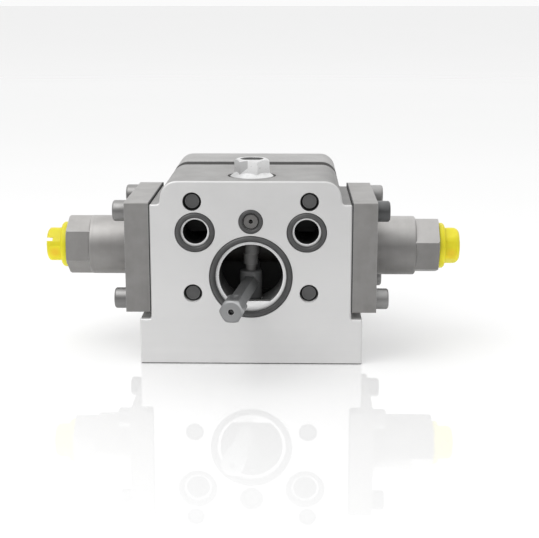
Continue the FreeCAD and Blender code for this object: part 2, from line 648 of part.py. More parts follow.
def flange_plate(side):
    """Flange plate with a tapped centre hole and a recess for the cap's seal ring."""
    plate = side_plate(side, FLANGE_X, FLANGE_THICKNESS, FLANGE_EDGE)
    cuts = side_holes(side, FLANGE_X, FLANGE_THICKNESS, CAP_SPIGOT_RADIUS + THREAD_GAP)
    recess_radius = CAP_SPIGOT_RADIUS + CAP_SEAL_SECTION + 2 * SEAL_GAP
    recess_start = Vector(side * (CAP_X - CAP_SEAL_RECESS_DEPTH), 0, SPOOL_HEIGHT)
    recess = Part.makeCylinder(recess_radius, CAP_SEAL_RECESS_DEPTH, recess_start, X_AXIS * side)
    return plate.cut(cuts + [recess])


def flange_gasket(side):
    """Thin dark gasket between a side pad and its flange plate."""
    plate = side_plate(side, PAD_X, GASKET_THICKNESS, FLANGE_EDGE)
    return plate.cut(side_holes(side, PAD_X, GASKET_THICKNESS, GASKET_HOLE_RADIUS))


def cap_seal_ring(side):
    """Seal ring squeezed under the shoulder of a spring cap."""
    outer = CAP_SPIGOT_RADIUS + CAP_SEAL_SECTION + SEAL_GAP
    profile = [
        (CAP_X - CAP_SEAL_RECESS_DEPTH, CAP_SPIGOT_RADIUS + SEAL_GAP, 0),
        (CAP_X - CAP_SEAL_RECESS_DEPTH, outer, 0),
        (CAP_X, outer, 0),
        (CAP_X, CAP_SPIGOT_RADIUS + SEAL_GAP, 0),
    ]
    return lathe(profile, SPOOL_CENTRE, X_AXIS * side)


def spring_cap(side, hex_turn):
    """Turned sleeve with a hexagon end, hollow for the spring, with the pilot port in its end."""
    axis = X_AXIS * side
    spigot_x = CAP_X - CAP_SPIGOT_LENGTH
    turned = lathe([
        (spigot_x, 0, 0),
        (spigot_x, CAP_SPIGOT_RADIUS, 0),
        (CAP_X, CAP_SPIGOT_RADIUS, 0),
        (CAP_X, CAP_RADIUS, 0),
        (HEX_X, CAP_RADIUS, CAP_ROUND),
        (HEX_X, 0, 0),
    ], SPOOL_CENTRE, axis)
    overlap = CAP_ROUND
    hex_start = SPOOL_CENTRE + axis * (HEX_X - overlap)
    bar = hexagon(HEX_ACROSS, HEX_LENGTH + overlap, hex_start, axis, hex_turn)
    envelope = lathe([
        (HEX_X - overlap, 0, 0),
        (HEX_X - overlap, CAP_RADIUS, 0),
        (CAP_END_X - HEX_EDGE_BREAK, CAP_RADIUS, 0),
        (CAP_END_X, CAP_RADIUS - HEX_EDGE_BREAK, 0),
        (CAP_END_X, 0, 0),
    ], SPOOL_CENTRE, axis)
    hollow = lathe([
        (spigot_x, 0, 0),
        (spigot_x, SPRING_CHAMBER_RADIUS, 0),
        (CHAMBER_END_X, SPRING_CHAMBER_RADIUS, 0),
        (CHAMBER_END_X, PILOT_PASSAGE_RADIUS, 0),
        (PILOT_PORT_FLOOR_X, PILOT_PASSAGE_RADIUS, 0),
        (PILOT_PORT_FLOOR_X, PILOT_PORT_RADIUS, 0),
        (CAP_END_X - PILOT_PORT_CHAMFER, PILOT_PORT_RADIUS, 0),
        (CAP_END_X, PILOT_PORT_RADIUS + PILOT_PORT_CHAMFER, 0),
        (CAP_END_X, 0, 0),
    ], SPOOL_CENTRE, axis)
    return turned.fuse(bar.common(envelope)).cut(hollow).removeSplitter()


def port_plug(side, turn):
    """Plastic plug: hollow stem, flange, and a hexagon head with a slot along two of its flats."""
    axis = X_AXIS * side
    stem_x = CAP_END_X - PLUG_STEM_LENGTH
    stem_radius = PILOT_PORT_RADIUS - THREAD_GAP
    stem_bore_radius = PILOT_PORT_RADIUS - PLUG_STEM_WALL
    flange_end = CAP_END_X + PLUG_FLANGE_THICKNESS
    head_end = flange_end + PLUG_HEX_LENGTH
    turned = lathe([
        (stem_x, stem_bore_radius, 0),
        (stem_x, stem_radius, 0),
        (CAP_END_X, stem_radius, 0),
        (CAP_END_X, PLUG_FLANGE_RADIUS, 0),
        (flange_end - PLUG_FLANGE_CHAMFER, PLUG_FLANGE_RADIUS, 0),
        (flange_end, PLUG_FLANGE_RADIUS - PLUG_FLANGE_CHAMFER, 0),
        (flange_end, 0, 0),
        (CAP_END_X, 0, 0),
        (CAP_END_X, stem_bore_radius, 0),
    ], SPOOL_CENTRE, axis)
    head_start = SPOOL_CENTRE + axis * CAP_END_X
    bar = hexagon(PLUG_HEX_ACROSS, head_end - CAP_END_X, head_start, axis, turn + PLUG_FLAT_TURN)
    envelope = lathe([
        (CAP_END_X, 0, 0),
        (CAP_END_X, PLUG_HEAD_RADIUS, 0),
        (head_end - PLUG_TIP_DROP, PLUG_HEAD_RADIUS, 0),
        (head_end, PLUG_TIP_RADIUS, 0),
        (head_end, 0, 0),
    ], SPOOL_CENTRE, axis)
    slot_y = PLUG_SLOT_OFFSET - PLUG_SLOT_WIDTH / 2
    slot_corner = Vector(-PLUG_HEAD_RADIUS, slot_y, head_end - PLUG_SLOT_DEPTH)
    slot = Part.makeBox(2 * PLUG_HEAD_RADIUS, PLUG_SLOT_WIDTH, PLUG_SLOT_DEPTH, slot_corner)
    slot.rotate(Vector(0, 0, 0), Z_AXIS, turn + side * 90)
    slot = placed(Part.makeCompound([slot]), SPOOL_CENTRE, axis)
    return turned.fuse(bar.common(envelope)).cut(slot).removeSplitter()


def spool():
    """Spool with its lands and necks, alike on both sides."""
    radius = SPOOL_RADIUS - RUNNING_GAP
    neck_start = (PORT_SPREAD - SPOOL_OUTER_NECK_LENGTH) / 2
    neck_end = neck_start + SPOOL_OUTER_NECK_LENGTH
    half = [
        (SPOOL_INNER_NECK_END, SPOOL_NECK_RADIUS),
        (SPOOL_INNER_NECK_END, radius),
        (neck_start, radius),
        (neck_start, SPOOL_NECK_RADIUS),
        (neck_end, SPOOL_NECK_RADIUS),
        (neck_end, radius),
        (SPOOL_END_X, radius),
        (SPOOL_END_X, 0),
    ]
    profile = [(-along, radius, 0) for along, radius in reversed(half)]
    profile += [(along, radius, 0) for along, radius in half]
    return lathe(profile, SPOOL_CENTRE, X_AXIS)


def feedback_sleeve():
    """Sleeve round the spool, with a groove and cross holes per gallery and a slot for the finger."""
    start = -SLEEVE_LENGTH / 2
    centre = SPOOL_CENTRE + X_AXIS * SLEEVE_X
    sleeve = Part.makeCylinder(SLEEVE_RADIUS, SLEEVE_LENGTH, centre + X_AXIS * start, X_AXIS)
    cuts = [Part.makeCylinder(SPOOL_RADIUS, SLEEVE_LENGTH, centre + X_AXIS * start, X_AXIS)]
    for side in (-1, 1):
        groove_centre = side * PORT_SPREAD / 2
        groove_start = centre + X_AXIS * (groove_centre - GALLERY_WIDTH / 2)
        outer = Part.makeCylinder(GALLERY_RADIUS, GALLERY_WIDTH, groove_start, X_AXIS)
        groove_radius = SPOOL_BORE_RADIUS - SLEEVE_GROOVE_DEPTH
        inner = Part.makeCylinder(groove_radius, GALLERY_WIDTH, groove_start, X_AXIS)
        cuts.append(outer.cut(inner))
        for axis in (Y_AXIS, Z_AXIS):
            hole_start = centre + X_AXIS * groove_centre - axis * GALLERY_RADIUS
            cuts.append(Part.makeCylinder(SLEEVE_PORT_RADIUS, 2 * GALLERY_RADIUS, hole_start, axis))
    slot_width = 2 * (FINGER_RADIUS + SLOT_GAP)
    slot_corner = centre + Vector(-slot_width / 2, -SLEEVE_RADIUS, -GALLERY_RADIUS)
    cuts.append(Part.makeBox(slot_width, 2 * SLEEVE_RADIUS, GALLERY_RADIUS - SPOOL_RADIUS, slot_corner))
    return sleeve.cut(cuts)


def spring_seat(side):
    """Seat that the spring presses onto the spool's end, with a boss inside the spring."""
    spring_x = SPOOL_END_X + SEAT_THICKNESS
    profile = [
        (SPOOL_END_X, 0, 0),
        (SPOOL_END_X, SEAT_RADIUS, 0),
        (spring_x, SEAT_RADIUS, 0),
        (spring_x, SEAT_BOSS_RADIUS, 0),
        (spring_x + SEAT_BOSS_LENGTH, SEAT_BOSS_RADIUS, 0),
        (spring_x + SEAT_BOSS_LENGTH, 0, 0),
    ]
    return lathe(profile, SPOOL_CENTRE, X_AXIS * side)


def wire_section(turn_angle, along):
    """Hexagon section of the spring's wire where it has turned by an angle in radians."""
    mean_radius = SPRING_OUTER_RADIUS - SPRING_WIRE / 2
    points = []
    for step in range(7):
        angle = step * math.pi / 3
        radius = mean_radius + SPRING_WIRE / 2 * math.cos(angle)
        height = along + SPRING_WIRE / 2 * math.sin(angle)
        points.append(Vector(radius * math.cos(turn_angle), radius * math.sin(turn_angle), height))
    return Part.makePolygon(points)


def centring_spring(side):
    """Wire spring between a spring seat and the end of the cap's chamber."""
    wire_half_height = SPRING_WIRE / 2 * math.sin(math.pi / 3)
    start_x = SPOOL_END_X + SEAT_THICKNESS + wire_half_height
    height = CHAMBER_END_X - wire_half_height - start_x
    steps = SPRING_TURNS * SPRING_STEPS_PER_TURN
    sections = []
    for step in range(steps + 1):
        turn_angle = 2 * math.pi * step / SPRING_STEPS_PER_TURN
        sections.append(wire_section(turn_angle, height * step / steps))
    spring = Part.makeLoft(sections, True, True)
    return placed(spring, SPOOL_CENTRE + X_AXIS * (side * start_x), X_AXIS * side)


def at_rest(shape):
    """Turns a lever piece, made in line with -Y, to where the lever rests."""
    shape.rotate(Vector(PIVOT_X, PIVOT_Y, 0), Z_AXIS, LEVER_REST_ANGLE)
    return shape


def lever_hub():
    """Hub on the eccentric journal, with an inner arm and the finger that moves the sleeve."""
    pivot = Vector(PIVOT_X, PIVOT_Y, 0)
    hub = lathe([
        (HUB_BOTTOM, 0, 0),
        (HUB_BOTTOM, HUB_RADIUS - HUB_CHAMFER, 0),
        (HUB_BOTTOM + HUB_CHAMFER, HUB_RADIUS, 0),
        (HUB_TOP - HUB_CHAMFER, HUB_RADIUS, 0),
        (HUB_TOP, HUB_RADIUS - HUB_CHAMFER, 0),
        (HUB_TOP, 0, 0),
    ], pivot, Z_AXIS)
    arm_corner = Vector(PIVOT_X - INNER_ARM_WIDTH / 2, PIVOT_Y, INNER_ARM_BOTTOM)
    arm = Part.makeBox(INNER_ARM_WIDTH, -PIVOT_Y, INNER_ARM_THICKNESS, arm_corner)
    tip = Vector(PIVOT_X, 0, INNER_ARM_BOTTOM)
    arm_end = Part.makeCylinder(INNER_ARM_WIDTH / 2, INNER_ARM_THICKNESS, tip, Z_AXIS)
    finger = Part.makeCylinder(FINGER_RADIUS, FINGER_TOP - INNER_ARM_BOTTOM, tip, Z_AXIS)
    journal_hole = Part.makeCylinder(JOURNAL_RADIUS + RUNNING_GAP, HUB_TOP, pivot, Z_AXIS)
    stud_start = Vector(PIVOT_X, PIVOT_Y, ARM_HEIGHT)
    stud_hole = Part.makeCylinder(ARM_STUD_RADIUS + THREAD_GAP, HUB_RADIUS, stud_start, -Y_AXIS)
    hub = hub.fuse([arm, arm_end, finger]).cut([journal_hole, stud_hole])
    return at_rest(hub.removeSplitter())


def lever_arm():
    """Outer arm: threaded stud, hexagon bar, collar and hexagon tip with a centre hole."""
    pivot = Vector(PIVOT_X, PIVOT_Y, ARM_HEIGHT)
    hex_start = ARM_TIP_REACH - ARM_HEX_LENGTH
    bar = hexagon(ARM_ACROSS, hex_start, pivot, -Y_AXIS, 0)
    collar_start = pivot - Y_AXIS * (hex_start - COLLAR_LENGTH)
    collar = Part.makeCylinder(COLLAR_RADIUS, COLLAR_LENGTH, collar_start, -Y_AXIS)
    hub_envelope = Part.makeCylinder(HUB_RADIUS, HUB_TOP, Vector(PIVOT_X, PIVOT_Y, 0), Z_AXIS)
    bar = bar.fuse(collar).cut(hub_envelope)
    stud_length = hex_start - ARM_STUD_START
    stud = Part.makeCylinder(ARM_STUD_RADIUS, stud_length, pivot - Y_AXIS * ARM_STUD_START, -Y_AXIS)
    tip = hexagon(ARM_HEX_ACROSS, ARM_HEX_LENGTH, pivot - Y_AXIS * hex_start, -Y_AXIS, 0)
    corner_radius = ARM_HEX_ACROSS / math.sqrt(3)
    end_radius = ARM_HEX_ACROSS / 2 - ARM_HEX_END_DROP
    chamfer = (corner_radius - end_radius) * math.tan(math.radians(HEX_CHAMFER_ANGLE))
    envelope = lathe([
        (hex_start, 0, 0),
        (hex_start, end_radius, 0),
        (hex_start + chamfer, corner_radius, 0),
        (ARM_TIP_REACH - 2 * chamfer, corner_radius, 0),
        (ARM_TIP_REACH, end_radius, 0),
        (ARM_TIP_REACH, 0, 0),
    ], pivot, -Y_AXIS)
    hole_start = pivot - Y_AXIS * (ARM_TIP_REACH - ARM_CENTRE_HOLE_DEPTH)
    hole = Part.makeCylinder(ARM_CENTRE_HOLE_RADIUS, ARM_CENTRE_HOLE_DEPTH, hole_start, -Y_AXIS)
    arm = bar.fuse([stud, tip.common(envelope)]).cut(hole)
    return at_rest(arm.removeSplitter())


def thrust_washer():
    """Washer that carries the hub on the floor of the bore."""
    centre = Vector(PIVOT_X, PIVOT_Y, 0)
    top = BORE_FLOOR + THRUST_WASHER_THICKNESS
    profile = [
        (BORE_FLOOR, JOURNAL_RADIUS + SEAL_GAP, 0),
        (BORE_FLOOR, THRUST_WASHER_RADIUS, 0),
        (top, THRUST_WASHER_RADIUS, 0),
        (top, JOURNAL_RADIUS + SEAL_GAP, 0),
    ]
    return lathe(profile, centre, Z_AXIS)


def eccentric_screw():
    """Adjusting screw: thread, shank, an offset journal for the lever and a pilot pin below."""
    axis_point = Vector(0, PIVOT_Y, 0)
    thread_bottom = BORE_ROOF
    turned = lathe([
        (ECCENTRIC_TOP, 0, 0),
        (ECCENTRIC_TOP, SHANK_RADIUS, 0),
        (thread_bottom, SHANK_RADIUS, 0),
        (thread_bottom, ADJUSTER_RADIUS, 0),
        (ADJUSTER_TOP - ADJUSTER_END_CHAMFER, ADJUSTER_RADIUS, 0),
        (ADJUSTER_TOP, ADJUSTER_RADIUS - ADJUSTER_END_CHAMFER, 0),
        (ADJUSTER_TOP, 0, 0),
    ], axis_point, Z_AXIS)
    journal = lathe([
        (BORE_FLOOR, 0, 0),
        (BORE_FLOOR, JOURNAL_RADIUS, 0),
        (ECCENTRIC_BOTTOM, JOURNAL_RADIUS, 0),
        (ECCENTRIC_BOTTOM, SHANK_RADIUS, 0),
        (ECCENTRIC_TOP, SHANK_RADIUS, 0),
        (ECCENTRIC_TOP, 0, 0),
    ], Vector(PIVOT_X, PIVOT_Y, 0), Z_AXIS)
    pilot_start = Vector(0, PIVOT_Y, BORE_FLOOR - PILOT_PIN_DEPTH)
    pilot = Part.makeCylinder(PILOT_PIN_RADIUS, PILOT_PIN_DEPTH, pilot_start, Z_AXIS)
    slot_y = PIVOT_Y - ADJUSTER_SLOT_WIDTH / 2
    slot_corner = Vector(-ADJUSTER_RADIUS, slot_y, ADJUSTER_TOP - ADJUSTER_SLOT_DEPTH)
    slot = Part.makeBox(2 * ADJUSTER_RADIUS, ADJUSTER_SLOT_WIDTH, ADJUSTER_SLOT_DEPTH, slot_corner)
    return turned.fuse([journal, pilot]).cut(slot).removeSplitter()


def lock_nut():
    """Hexagon flange nut that locks the eccentric screw."""
    origin = Vector(0, PIVOT_Y, 0)
    flange = lathe([
        (NUT_BOTTOM, 0, 0),
        (NUT_BOTTOM, NUT_FLANGE_RADIUS, 0),
        (NUT_BOTTOM + NUT_FLANGE_RIM, NUT_FLANGE_RADIUS, 0),
        (NUT_BOTTOM + NUT_CONE_HEIGHT, NUT_CONE_TOP_RADIUS, 0),
        (NUT_BOTTOM + NUT_CONE_HEIGHT, 0, 0),
    ], origin, Z_AXIS)
    bar = hexagon(NUT_ACROSS, NUT_HEIGHT, Vector(0, PIVOT_Y, NUT_BOTTOM), Z_AXIS, NUT_TURN)
    corner_radius = NUT_ACROSS / math.sqrt(3)
    end_radius = NUT_ACROSS / 2
    drop = (corner_radius - end_radius) * math.tan(math.radians(HEX_CHAMFER_ANGLE))
    envelope = lathe([
        (NUT_BOTTOM, 0, 0),
        (NUT_BOTTOM, corner_radius, 0),
        (NUT_TOP - drop, corner_radius, 0),
        (NUT_TOP, end_radius, 0),
        (NUT_TOP, 0, 0),
    ], origin, Z_AXIS)
    hole_radius = ADJUSTER_RADIUS + THREAD_GAP
    hole = lathe([
        (NUT_BOTTOM, 0, 0),
        (NUT_BOTTOM, hole_radius, 0),
        (NUT_TOP - ADJUSTER_END_CHAMFER, hole_radius, 0),
        (NUT_TOP, hole_radius + ADJUSTER_END_CHAMFER, 0),
        (NUT_TOP, 0, 0),
    ], origin, Z_AXIS)
    return flange.fuse(bar.common(envelope)).cut(hole).removeSplitter()


def sealing_washer():
    """Washer that seals the lock nut on its spotface."""
    inner = ADJUSTER_RADIUS + THREAD_GAP
    profile = [
        (SPOTFACE_FLOOR, inner, 0),
        (SPOTFACE_FLOOR, SEAL_WASHER_RADIUS, 0),
        (NUT_BOTTOM, SEAL_WASHER_RADIUS, 0),
        (NUT_BOTTOM, inner, 0),
    ]
    return lathe(profile, Vector(0, PIVOT_Y, 0), Z_AXIS)


def orifice_plug():
    """Small screwed plug in the drain port, with a wide mouth and a fine orifice behind it."""
    front = FRONT_Y + ORIFICE_PLUG_SUNK
    origin = Vector(0, front, DRAIN_HEIGHT)
    radius = DRAIN_RADIUS - THREAD_GAP
    profile = [
        (0, ORIFICE_MOUTH_RADIUS, 0),
        (0, radius - ORIFICE_PLUG_CHAMFER, 0),
        (ORIFICE_PLUG_CHAMFER, radius, 0),
        (ORIFICE_PLUG_LENGTH, radius, 0),
        (ORIFICE_PLUG_LENGTH, ORIFICE_RADIUS, 0),
        (ORIFICE_MOUTH_DEPTH, ORIFICE_RADIUS, 0),
        (ORIFICE_MOUTH_DEPTH, ORIFICE_MOUTH_RADIUS, 0),
    ]
    return lathe(profile, origin, Y_AXIS)


def seal_rings_in_face():
    """Seal rings of the mounting face, by node name."""
    side_x = PORT_SPREAD / 2
    port = (PORT_SEAT_RADIUS, PORT_SEAT_DEPTH, PORT_SEAL_SECTION)
    return {
        "bore_seal_ring": seated_ring(
            BORE_SEAT_RADIUS, BORE_SEAT_DEPTH, BORE_SEAL_SECTION, 0, LEVER_BORE_HEIGHT
        ),
        "left_port_seal_ring": seated_ring(*port, -side_x, PORT_HEIGHT),
        "right_port_seal_ring": seated_ring(*port, side_x, PORT_HEIGHT),
        "drain_seal_ring": seated_ring(
            DRAIN_SEAT_RADIUS, DRAIN_SEAT_DEPTH, DRAIN_SEAL_SECTION, 0, DRAIN_HEIGHT
        ),
    }


def all_pieces():
    """Every piece of the valve, by node name."""
    pieces = {
        "valve_body": valve_body(),
        "rear_block": rear_block(),
        "block_seal_rings": block_seal_rings(),
        "mounting_screws": mounting_screws(),
        "spool": spool(),
        "feedback_sleeve": feedback_sleeve(),
        "lever_hub": lever_hub(),
        "lever_arm": lever_arm(),
        "thrust_washer": thrust_washer(),
        "eccentric_screw": eccentric_screw(),
        "lock_nut": lock_nut(),
        "sealing_washer": sealing_washer(),
        "orifice_plug": orifice_plug(),
    }
    pieces.update(seal_rings_in_face())
    sides = (("left", -1, LEFT_HEX_TURN, LEFT_PLUG_TURN), ("right", 1, RIGHT_HEX_TURN, RIGHT_PLUG_TURN))
    for name, side, hex_turn, plug_turn in sides:
        pieces[f"{name}_flange_plate"] = flange_plate(side)
        pieces[f"{name}_flange_gasket"] = flange_gasket(side)
        pieces[f"{name}_flange_screws"] = flange_screws(side)
        pieces[f"{name}_spring_cap"] = spring_cap(side, hex_turn)
        pieces[f"{name}_cap_seal_ring"] = cap_seal_ring(side)
        pieces[f"{name}_port_plug"] = port_plug(side, plug_turn)
        pieces[f"{name}_spring_seat"] = spring_seat(side)
        pieces[f"{name}_spring"] = centring_spring(side)
    return pieces


def main():
    os.makedirs("parts", exist_ok=True)
    for name, shape in all_pieces().items():
        shape.exportStep(f"parts/{name}.step")
        print(name, "valid" if shape.isValid() else "INVALID", len(shape.Solids), "solids")


main()
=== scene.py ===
# %% [markdown]
# # A hydraulic control valve
# A hydraulic control valve is a block of iron, with ports and a lever bore in its machined mounting face. A
# spool runs across the block, and a spring cap with a yellow shipping plug closes each end. The imported model
# gives every piece at its true size and place, so it is loaded first and never changed. This lesson gives
# each surface its finish, and models again the pieces whose real form is finer.

# %% Load the frame
import json
import math

import bpy
from mathutils import Matrix, Vector


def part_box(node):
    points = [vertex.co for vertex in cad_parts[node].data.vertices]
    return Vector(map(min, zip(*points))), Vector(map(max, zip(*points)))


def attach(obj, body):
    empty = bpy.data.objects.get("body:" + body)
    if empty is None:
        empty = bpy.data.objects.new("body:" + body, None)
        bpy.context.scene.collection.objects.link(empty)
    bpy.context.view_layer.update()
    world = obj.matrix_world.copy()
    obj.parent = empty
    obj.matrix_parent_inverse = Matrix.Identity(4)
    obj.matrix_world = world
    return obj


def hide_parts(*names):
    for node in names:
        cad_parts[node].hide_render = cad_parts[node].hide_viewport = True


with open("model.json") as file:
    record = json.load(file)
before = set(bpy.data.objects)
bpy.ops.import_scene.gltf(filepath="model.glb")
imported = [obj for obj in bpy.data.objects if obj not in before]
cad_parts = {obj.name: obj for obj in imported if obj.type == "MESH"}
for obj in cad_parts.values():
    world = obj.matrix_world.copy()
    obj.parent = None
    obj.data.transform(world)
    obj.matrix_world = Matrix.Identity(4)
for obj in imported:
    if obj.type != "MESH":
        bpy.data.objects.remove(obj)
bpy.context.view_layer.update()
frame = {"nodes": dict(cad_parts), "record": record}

# %% [markdown]
# ## The camera
# The photograph was taken with a long lens from a little above and a little to the right. The camera could be
# placed by eye, but the block's straight edges fix it better: their corners were fitted to the picture, which
# gives its place, tilt and focal length.

# %% Camera
CAMERA_PLACE = (0.0194, -0.5954, 0.1711)
CAMERA_TILT, CAMERA_TURN = 77.5186, 1.079
FOCAL_LENGTH, SENSOR_WIDTH = 81.49, 36.0

lens = bpy.data.cameras.new("photo lens")
lens.sensor_fit = "HORIZONTAL"
lens.sensor_width = SENSOR_WIDTH
lens.lens = FOCAL_LENGTH
lens.clip_start = 0.01
lens.clip_end = 50.0
camera = bpy.data.objects.new("camera", lens)
camera.location = CAMERA_PLACE
camera.rotation_euler = (math.radians(CAMERA_TILT), 0.0, math.radians(CAMERA_TURN))
bpy.context.scene.collection.objects.link(camera)
bpy.context.scene.camera = camera
print("camera at", CAMERA_PLACE, "with a", FOCAL_LENGTH, "mm lens")

# %% [markdown]
# ## Helpers for materials
# A material is a small tree of nodes. Writing each node and link by hand hides the idea, so one helper adds a
# node with its settings, and others start and place a shared group: an effect that several finishes use, such
# as edge wear.

# %% Node helpers
def set_inputs(node, inputs=None, **named):
    """Sets or links inputs, by number or by name. An underscore in a name stands for a space."""
    for key, value in {**(inputs or {}), **named}.items():
        socket = node.inputs[key.replace("_", " ") if isinstance(key, str) else key]
        if isinstance(value, bpy.types.NodeSocket):
            node.id_data.links.new(value, socket)
        else:
            socket.default_value = value


def add_node(tree, kind, inputs=None, **settings):
    """Adds a node, then sets its properties and its inputs."""
    node = tree.nodes.new(kind)
    for name, value in settings.items():
        setattr(node, name, value)
    set_inputs(node, inputs)
    return node


def new_group(name, inputs, outputs):
    """Starts a shader group from {name: default} inputs and {name: type} outputs."""
    tree = bpy.data.node_groups.new(name, "ShaderNodeTree")
    for socket_name, default in inputs.items():
        kind = "NodeSocketFloat" if isinstance(default, float) else "NodeSocketVector"
        socket = tree.interface.new_socket(name=socket_name, in_out="INPUT", socket_type=kind)
        if default is not None:
            socket.default_value = default
    for socket_name, kind in outputs.items():
        tree.interface.new_socket(name=socket_name, in_out="OUTPUT", socket_type="NodeSocket" + kind)
    return tree, tree.nodes.new("NodeGroupInput").outputs, tree.nodes.new("NodeGroupOutput")


print("node helpers ready")

# %% [markdown]
# A mask is a value between 0 and 1 that says where an effect holds. Masks come from sums with a point's place
# and with the way its surface faces, so each kind of sum gets a short name here. Such chains could be drawn
# in the editor, but as sums they can be read aloud. A sum is made in the tree of its sockets.

# %% Sums, ramps and mixes
def tree_of(values):
    """The node tree of the first socket among some values."""
    return next(value.id_data for value in values if isinstance(value, bpy.types.NodeSocket))


def math_node(operation, *values, clamp=False):
    """A Math node, given back as its output."""
    settings = {"operation": operation, "use_clamp": clamp}
    return add_node(tree_of(values), "ShaderNodeMath", dict(enumerate(values)), **settings).outputs[0]


def times(first, *others):
    """A product. A product of masks holds where all of them do."""
    for other in others:
        first = math_node("MULTIPLY", first, other)
    return first


def highest(first, *others):
    """The highest of some values. The highest of masks holds where any of them does."""
    for other in others:
        first = math_node("MAXIMUM", first, other)
    return first


def minus(first, second):
    """A difference."""
    return math_node("SUBTRACT", first, second)


def above(value, limit):
    """1 where a value is above a limit."""
    return math_node("GREATER_THAN", value, limit)


def below(value, limit):
    """1 where a value is below a limit."""
    return math_node("LESS_THAN", value, limit)


def raised(pattern, base, spread):
    """A base value, raised by up to a spread where a pattern is high."""
    return math_node("MULTIPLY_ADD", pattern, spread, base)


def axis_distance(across, up):
    """How far a point lies from an axis."""
    return math_node("SQRT", math_node("ADD", times(across, across), times(up, up)))


def ramp(value, low, high, to_low=0.0, to_high=1.0):
    """Stretches the values from low to high onto another range, and stops at its ends."""
    inputs = {"Value": value, "From Min": low, "From Max": high, "To Min": to_low, "To Max": to_high}
    return add_node(value.id_data, "ShaderNodeMapRange", inputs).outputs[0]


def split(vector):
    """The X, Y and Z of a vector."""
    return add_node(vector.id_data, "ShaderNodeSeparateXYZ", {0: vector}).outputs


def facing_beside(place):
    """The X, Y and Z of the way the surface faces, in the tree that a place is in."""
    return split(add_node(place.id_data, "ShaderNodeNewGeometry").outputs["Normal"])


def noise(vector, scale, detail, roughness):
    """A noise pattern."""
    inputs = {"Vector": vector, "Scale": scale, "Detail": detail, "Roughness": roughness}
    return add_node(vector.id_data, "ShaderNodeTexNoise", inputs).outputs["Fac"]


def mix(factor, first, second, blend="MIX"):
    """Mixes two colours. A Mix node takes colours on its inputs 6 and 7 and gives one on its output 2."""
    values = {0: factor, 6: first, 7: second}
    tree = tree_of(values.values())
    return add_node(tree, "ShaderNodeMix", values, data_type="RGBA", blend_type=blend).outputs[2]


def layered(colour, *layers):
    """Lays (mask, colour) layers over a colour, one after another."""
    for mask, over in layers:
        colour = mix(mask, colour, over)
    return colour


def use_group(group, **inputs):
    """Places a shared group in the tree of its inputs, given back as its outputs."""
    return add_node(tree_of(inputs.values()), "ShaderNodeGroup", inputs, node_tree=group).outputs


print("sums, ramps and mixes ready")

# %% [markdown]
# ## Edge wear
# Every machined edge is broken a little, and its colour is brightened there: partly wear, where the skin has
# been rubbed off, and partly a painted highlight, where a broken edge would catch the light. It could be
# painted, or found from the mesh's curvature, but the imported pieces are loose triangles. The Bevel node works
# on any mesh: where its rounded normal leaves the true one there is an edge. A noise breaks the line up, as
# wear is never even.

# %% Edge wear group
EDGE_STARTS, EDGE_FULL = 0.995, 0.80
RUBBED_SCALE = 420.0

wear_tree, wear_in, wear_out = new_group(
    "edge wear",
    {"Vector": None, "Width": 0.0004, "Amount": 1.0, "Break Up": 0.5}, {"Edge": "Float", "Normal": "Vector"},
)
rounded = add_node(wear_tree, "ShaderNodeBevel", {"Radius": wear_in["Width"]}, samples=6).outputs["Normal"]
surface = add_node(wear_tree, "ShaderNodeNewGeometry").outputs["Normal"]
agreement = add_node(
    wear_tree, "ShaderNodeVectorMath", {0: rounded, 1: surface}, operation="DOT_PRODUCT",
).outputs["Value"]
edge = ramp(agreement, EDGE_STARTS, EDGE_FULL)
rubbed = noise(wear_in["Vector"], RUBBED_SCALE, detail=3.0, roughness=0.6)
patchy = ramp(rubbed, 0.30, 0.62)
kept = minus(1.0, wear_in["Break Up"])
share = raised(patchy, base=kept, spread=wear_in["Break Up"])
worn = math_node("MULTIPLY", times(edge, share), wear_in["Amount"], clamp=True)
set_inputs(wear_out, Edge=worn, Normal=rounded)
print("made group", wear_tree.name)

# %% [markdown]
# ## Mottle
# Iron and steel that has been handled and oiled is never one grey: faint clouds a few millimetres wide lie
# over finer specks. Two noises at different scales give both, and each finish chooses how strong they are.

# %% Mottle group
mottle_tree, mottle_in, mottle_out = new_group(
    "mottle",
    {"Vector": None, "Cloud Scale": 60.0, "Speck Scale": 700.0}, {"Clouds": "Float", "Specks": "Float"},
)
clouds = noise(mottle_in["Vector"], mottle_in["Cloud Scale"], detail=4.0, roughness=0.55)
specks = noise(mottle_in["Vector"], mottle_in["Speck Scale"], detail=2.0, roughness=0.7)
set_inputs(mottle_out, Clouds=ramp(clouds, 0.32, 0.68), Specks=ramp(specks, 0.35, 0.65))
print("made group", mottle_tree.name)

# %% [markdown]
# ## Tool marks
# A milled or ground face keeps fine straight lines, and a turned one keeps rings. Both are a noise squeezed
# hard across the tool's path. The group squeezes the vector that it is given, and the material chooses that
# vector: straight for a milled face, or made of the distance along and from the axis for a turned one.

# %% Tool mark group
BAND_SHARE = 0.12

tool_tree, tool_in, tool_out = new_group(
    "tool marks",
    {"Vector": None, "Squeeze": (1.0, 1.0, 1.0), "Fineness": 900.0}, {"Lines": "Float", "Bands": "Float"},
)
squeezed = add_node(
    tool_tree, "ShaderNodeVectorMath", {0: tool_in["Vector"], 1: tool_in["Squeeze"]}, operation="MULTIPLY",
).outputs["Vector"]
fine_lines = noise(squeezed, tool_in["Fineness"], detail=3.0, roughness=0.6)
wide_bands = noise(squeezed, times(tool_in["Fineness"], BAND_SHARE), detail=2.0, roughness=0.5)
set_inputs(tool_out, Lines=ramp(fine_lines, 0.25, 0.75), Bands=ramp(wide_bands, 0.30, 0.70))
print("made group", tool_tree.name)

# %% [markdown]
# ## Round coordinates
# Rings round an axis need to know how far a point lies along the axis and how far from it. This group turns
# coordinates, moved so that X runs along the axis, into that pair.

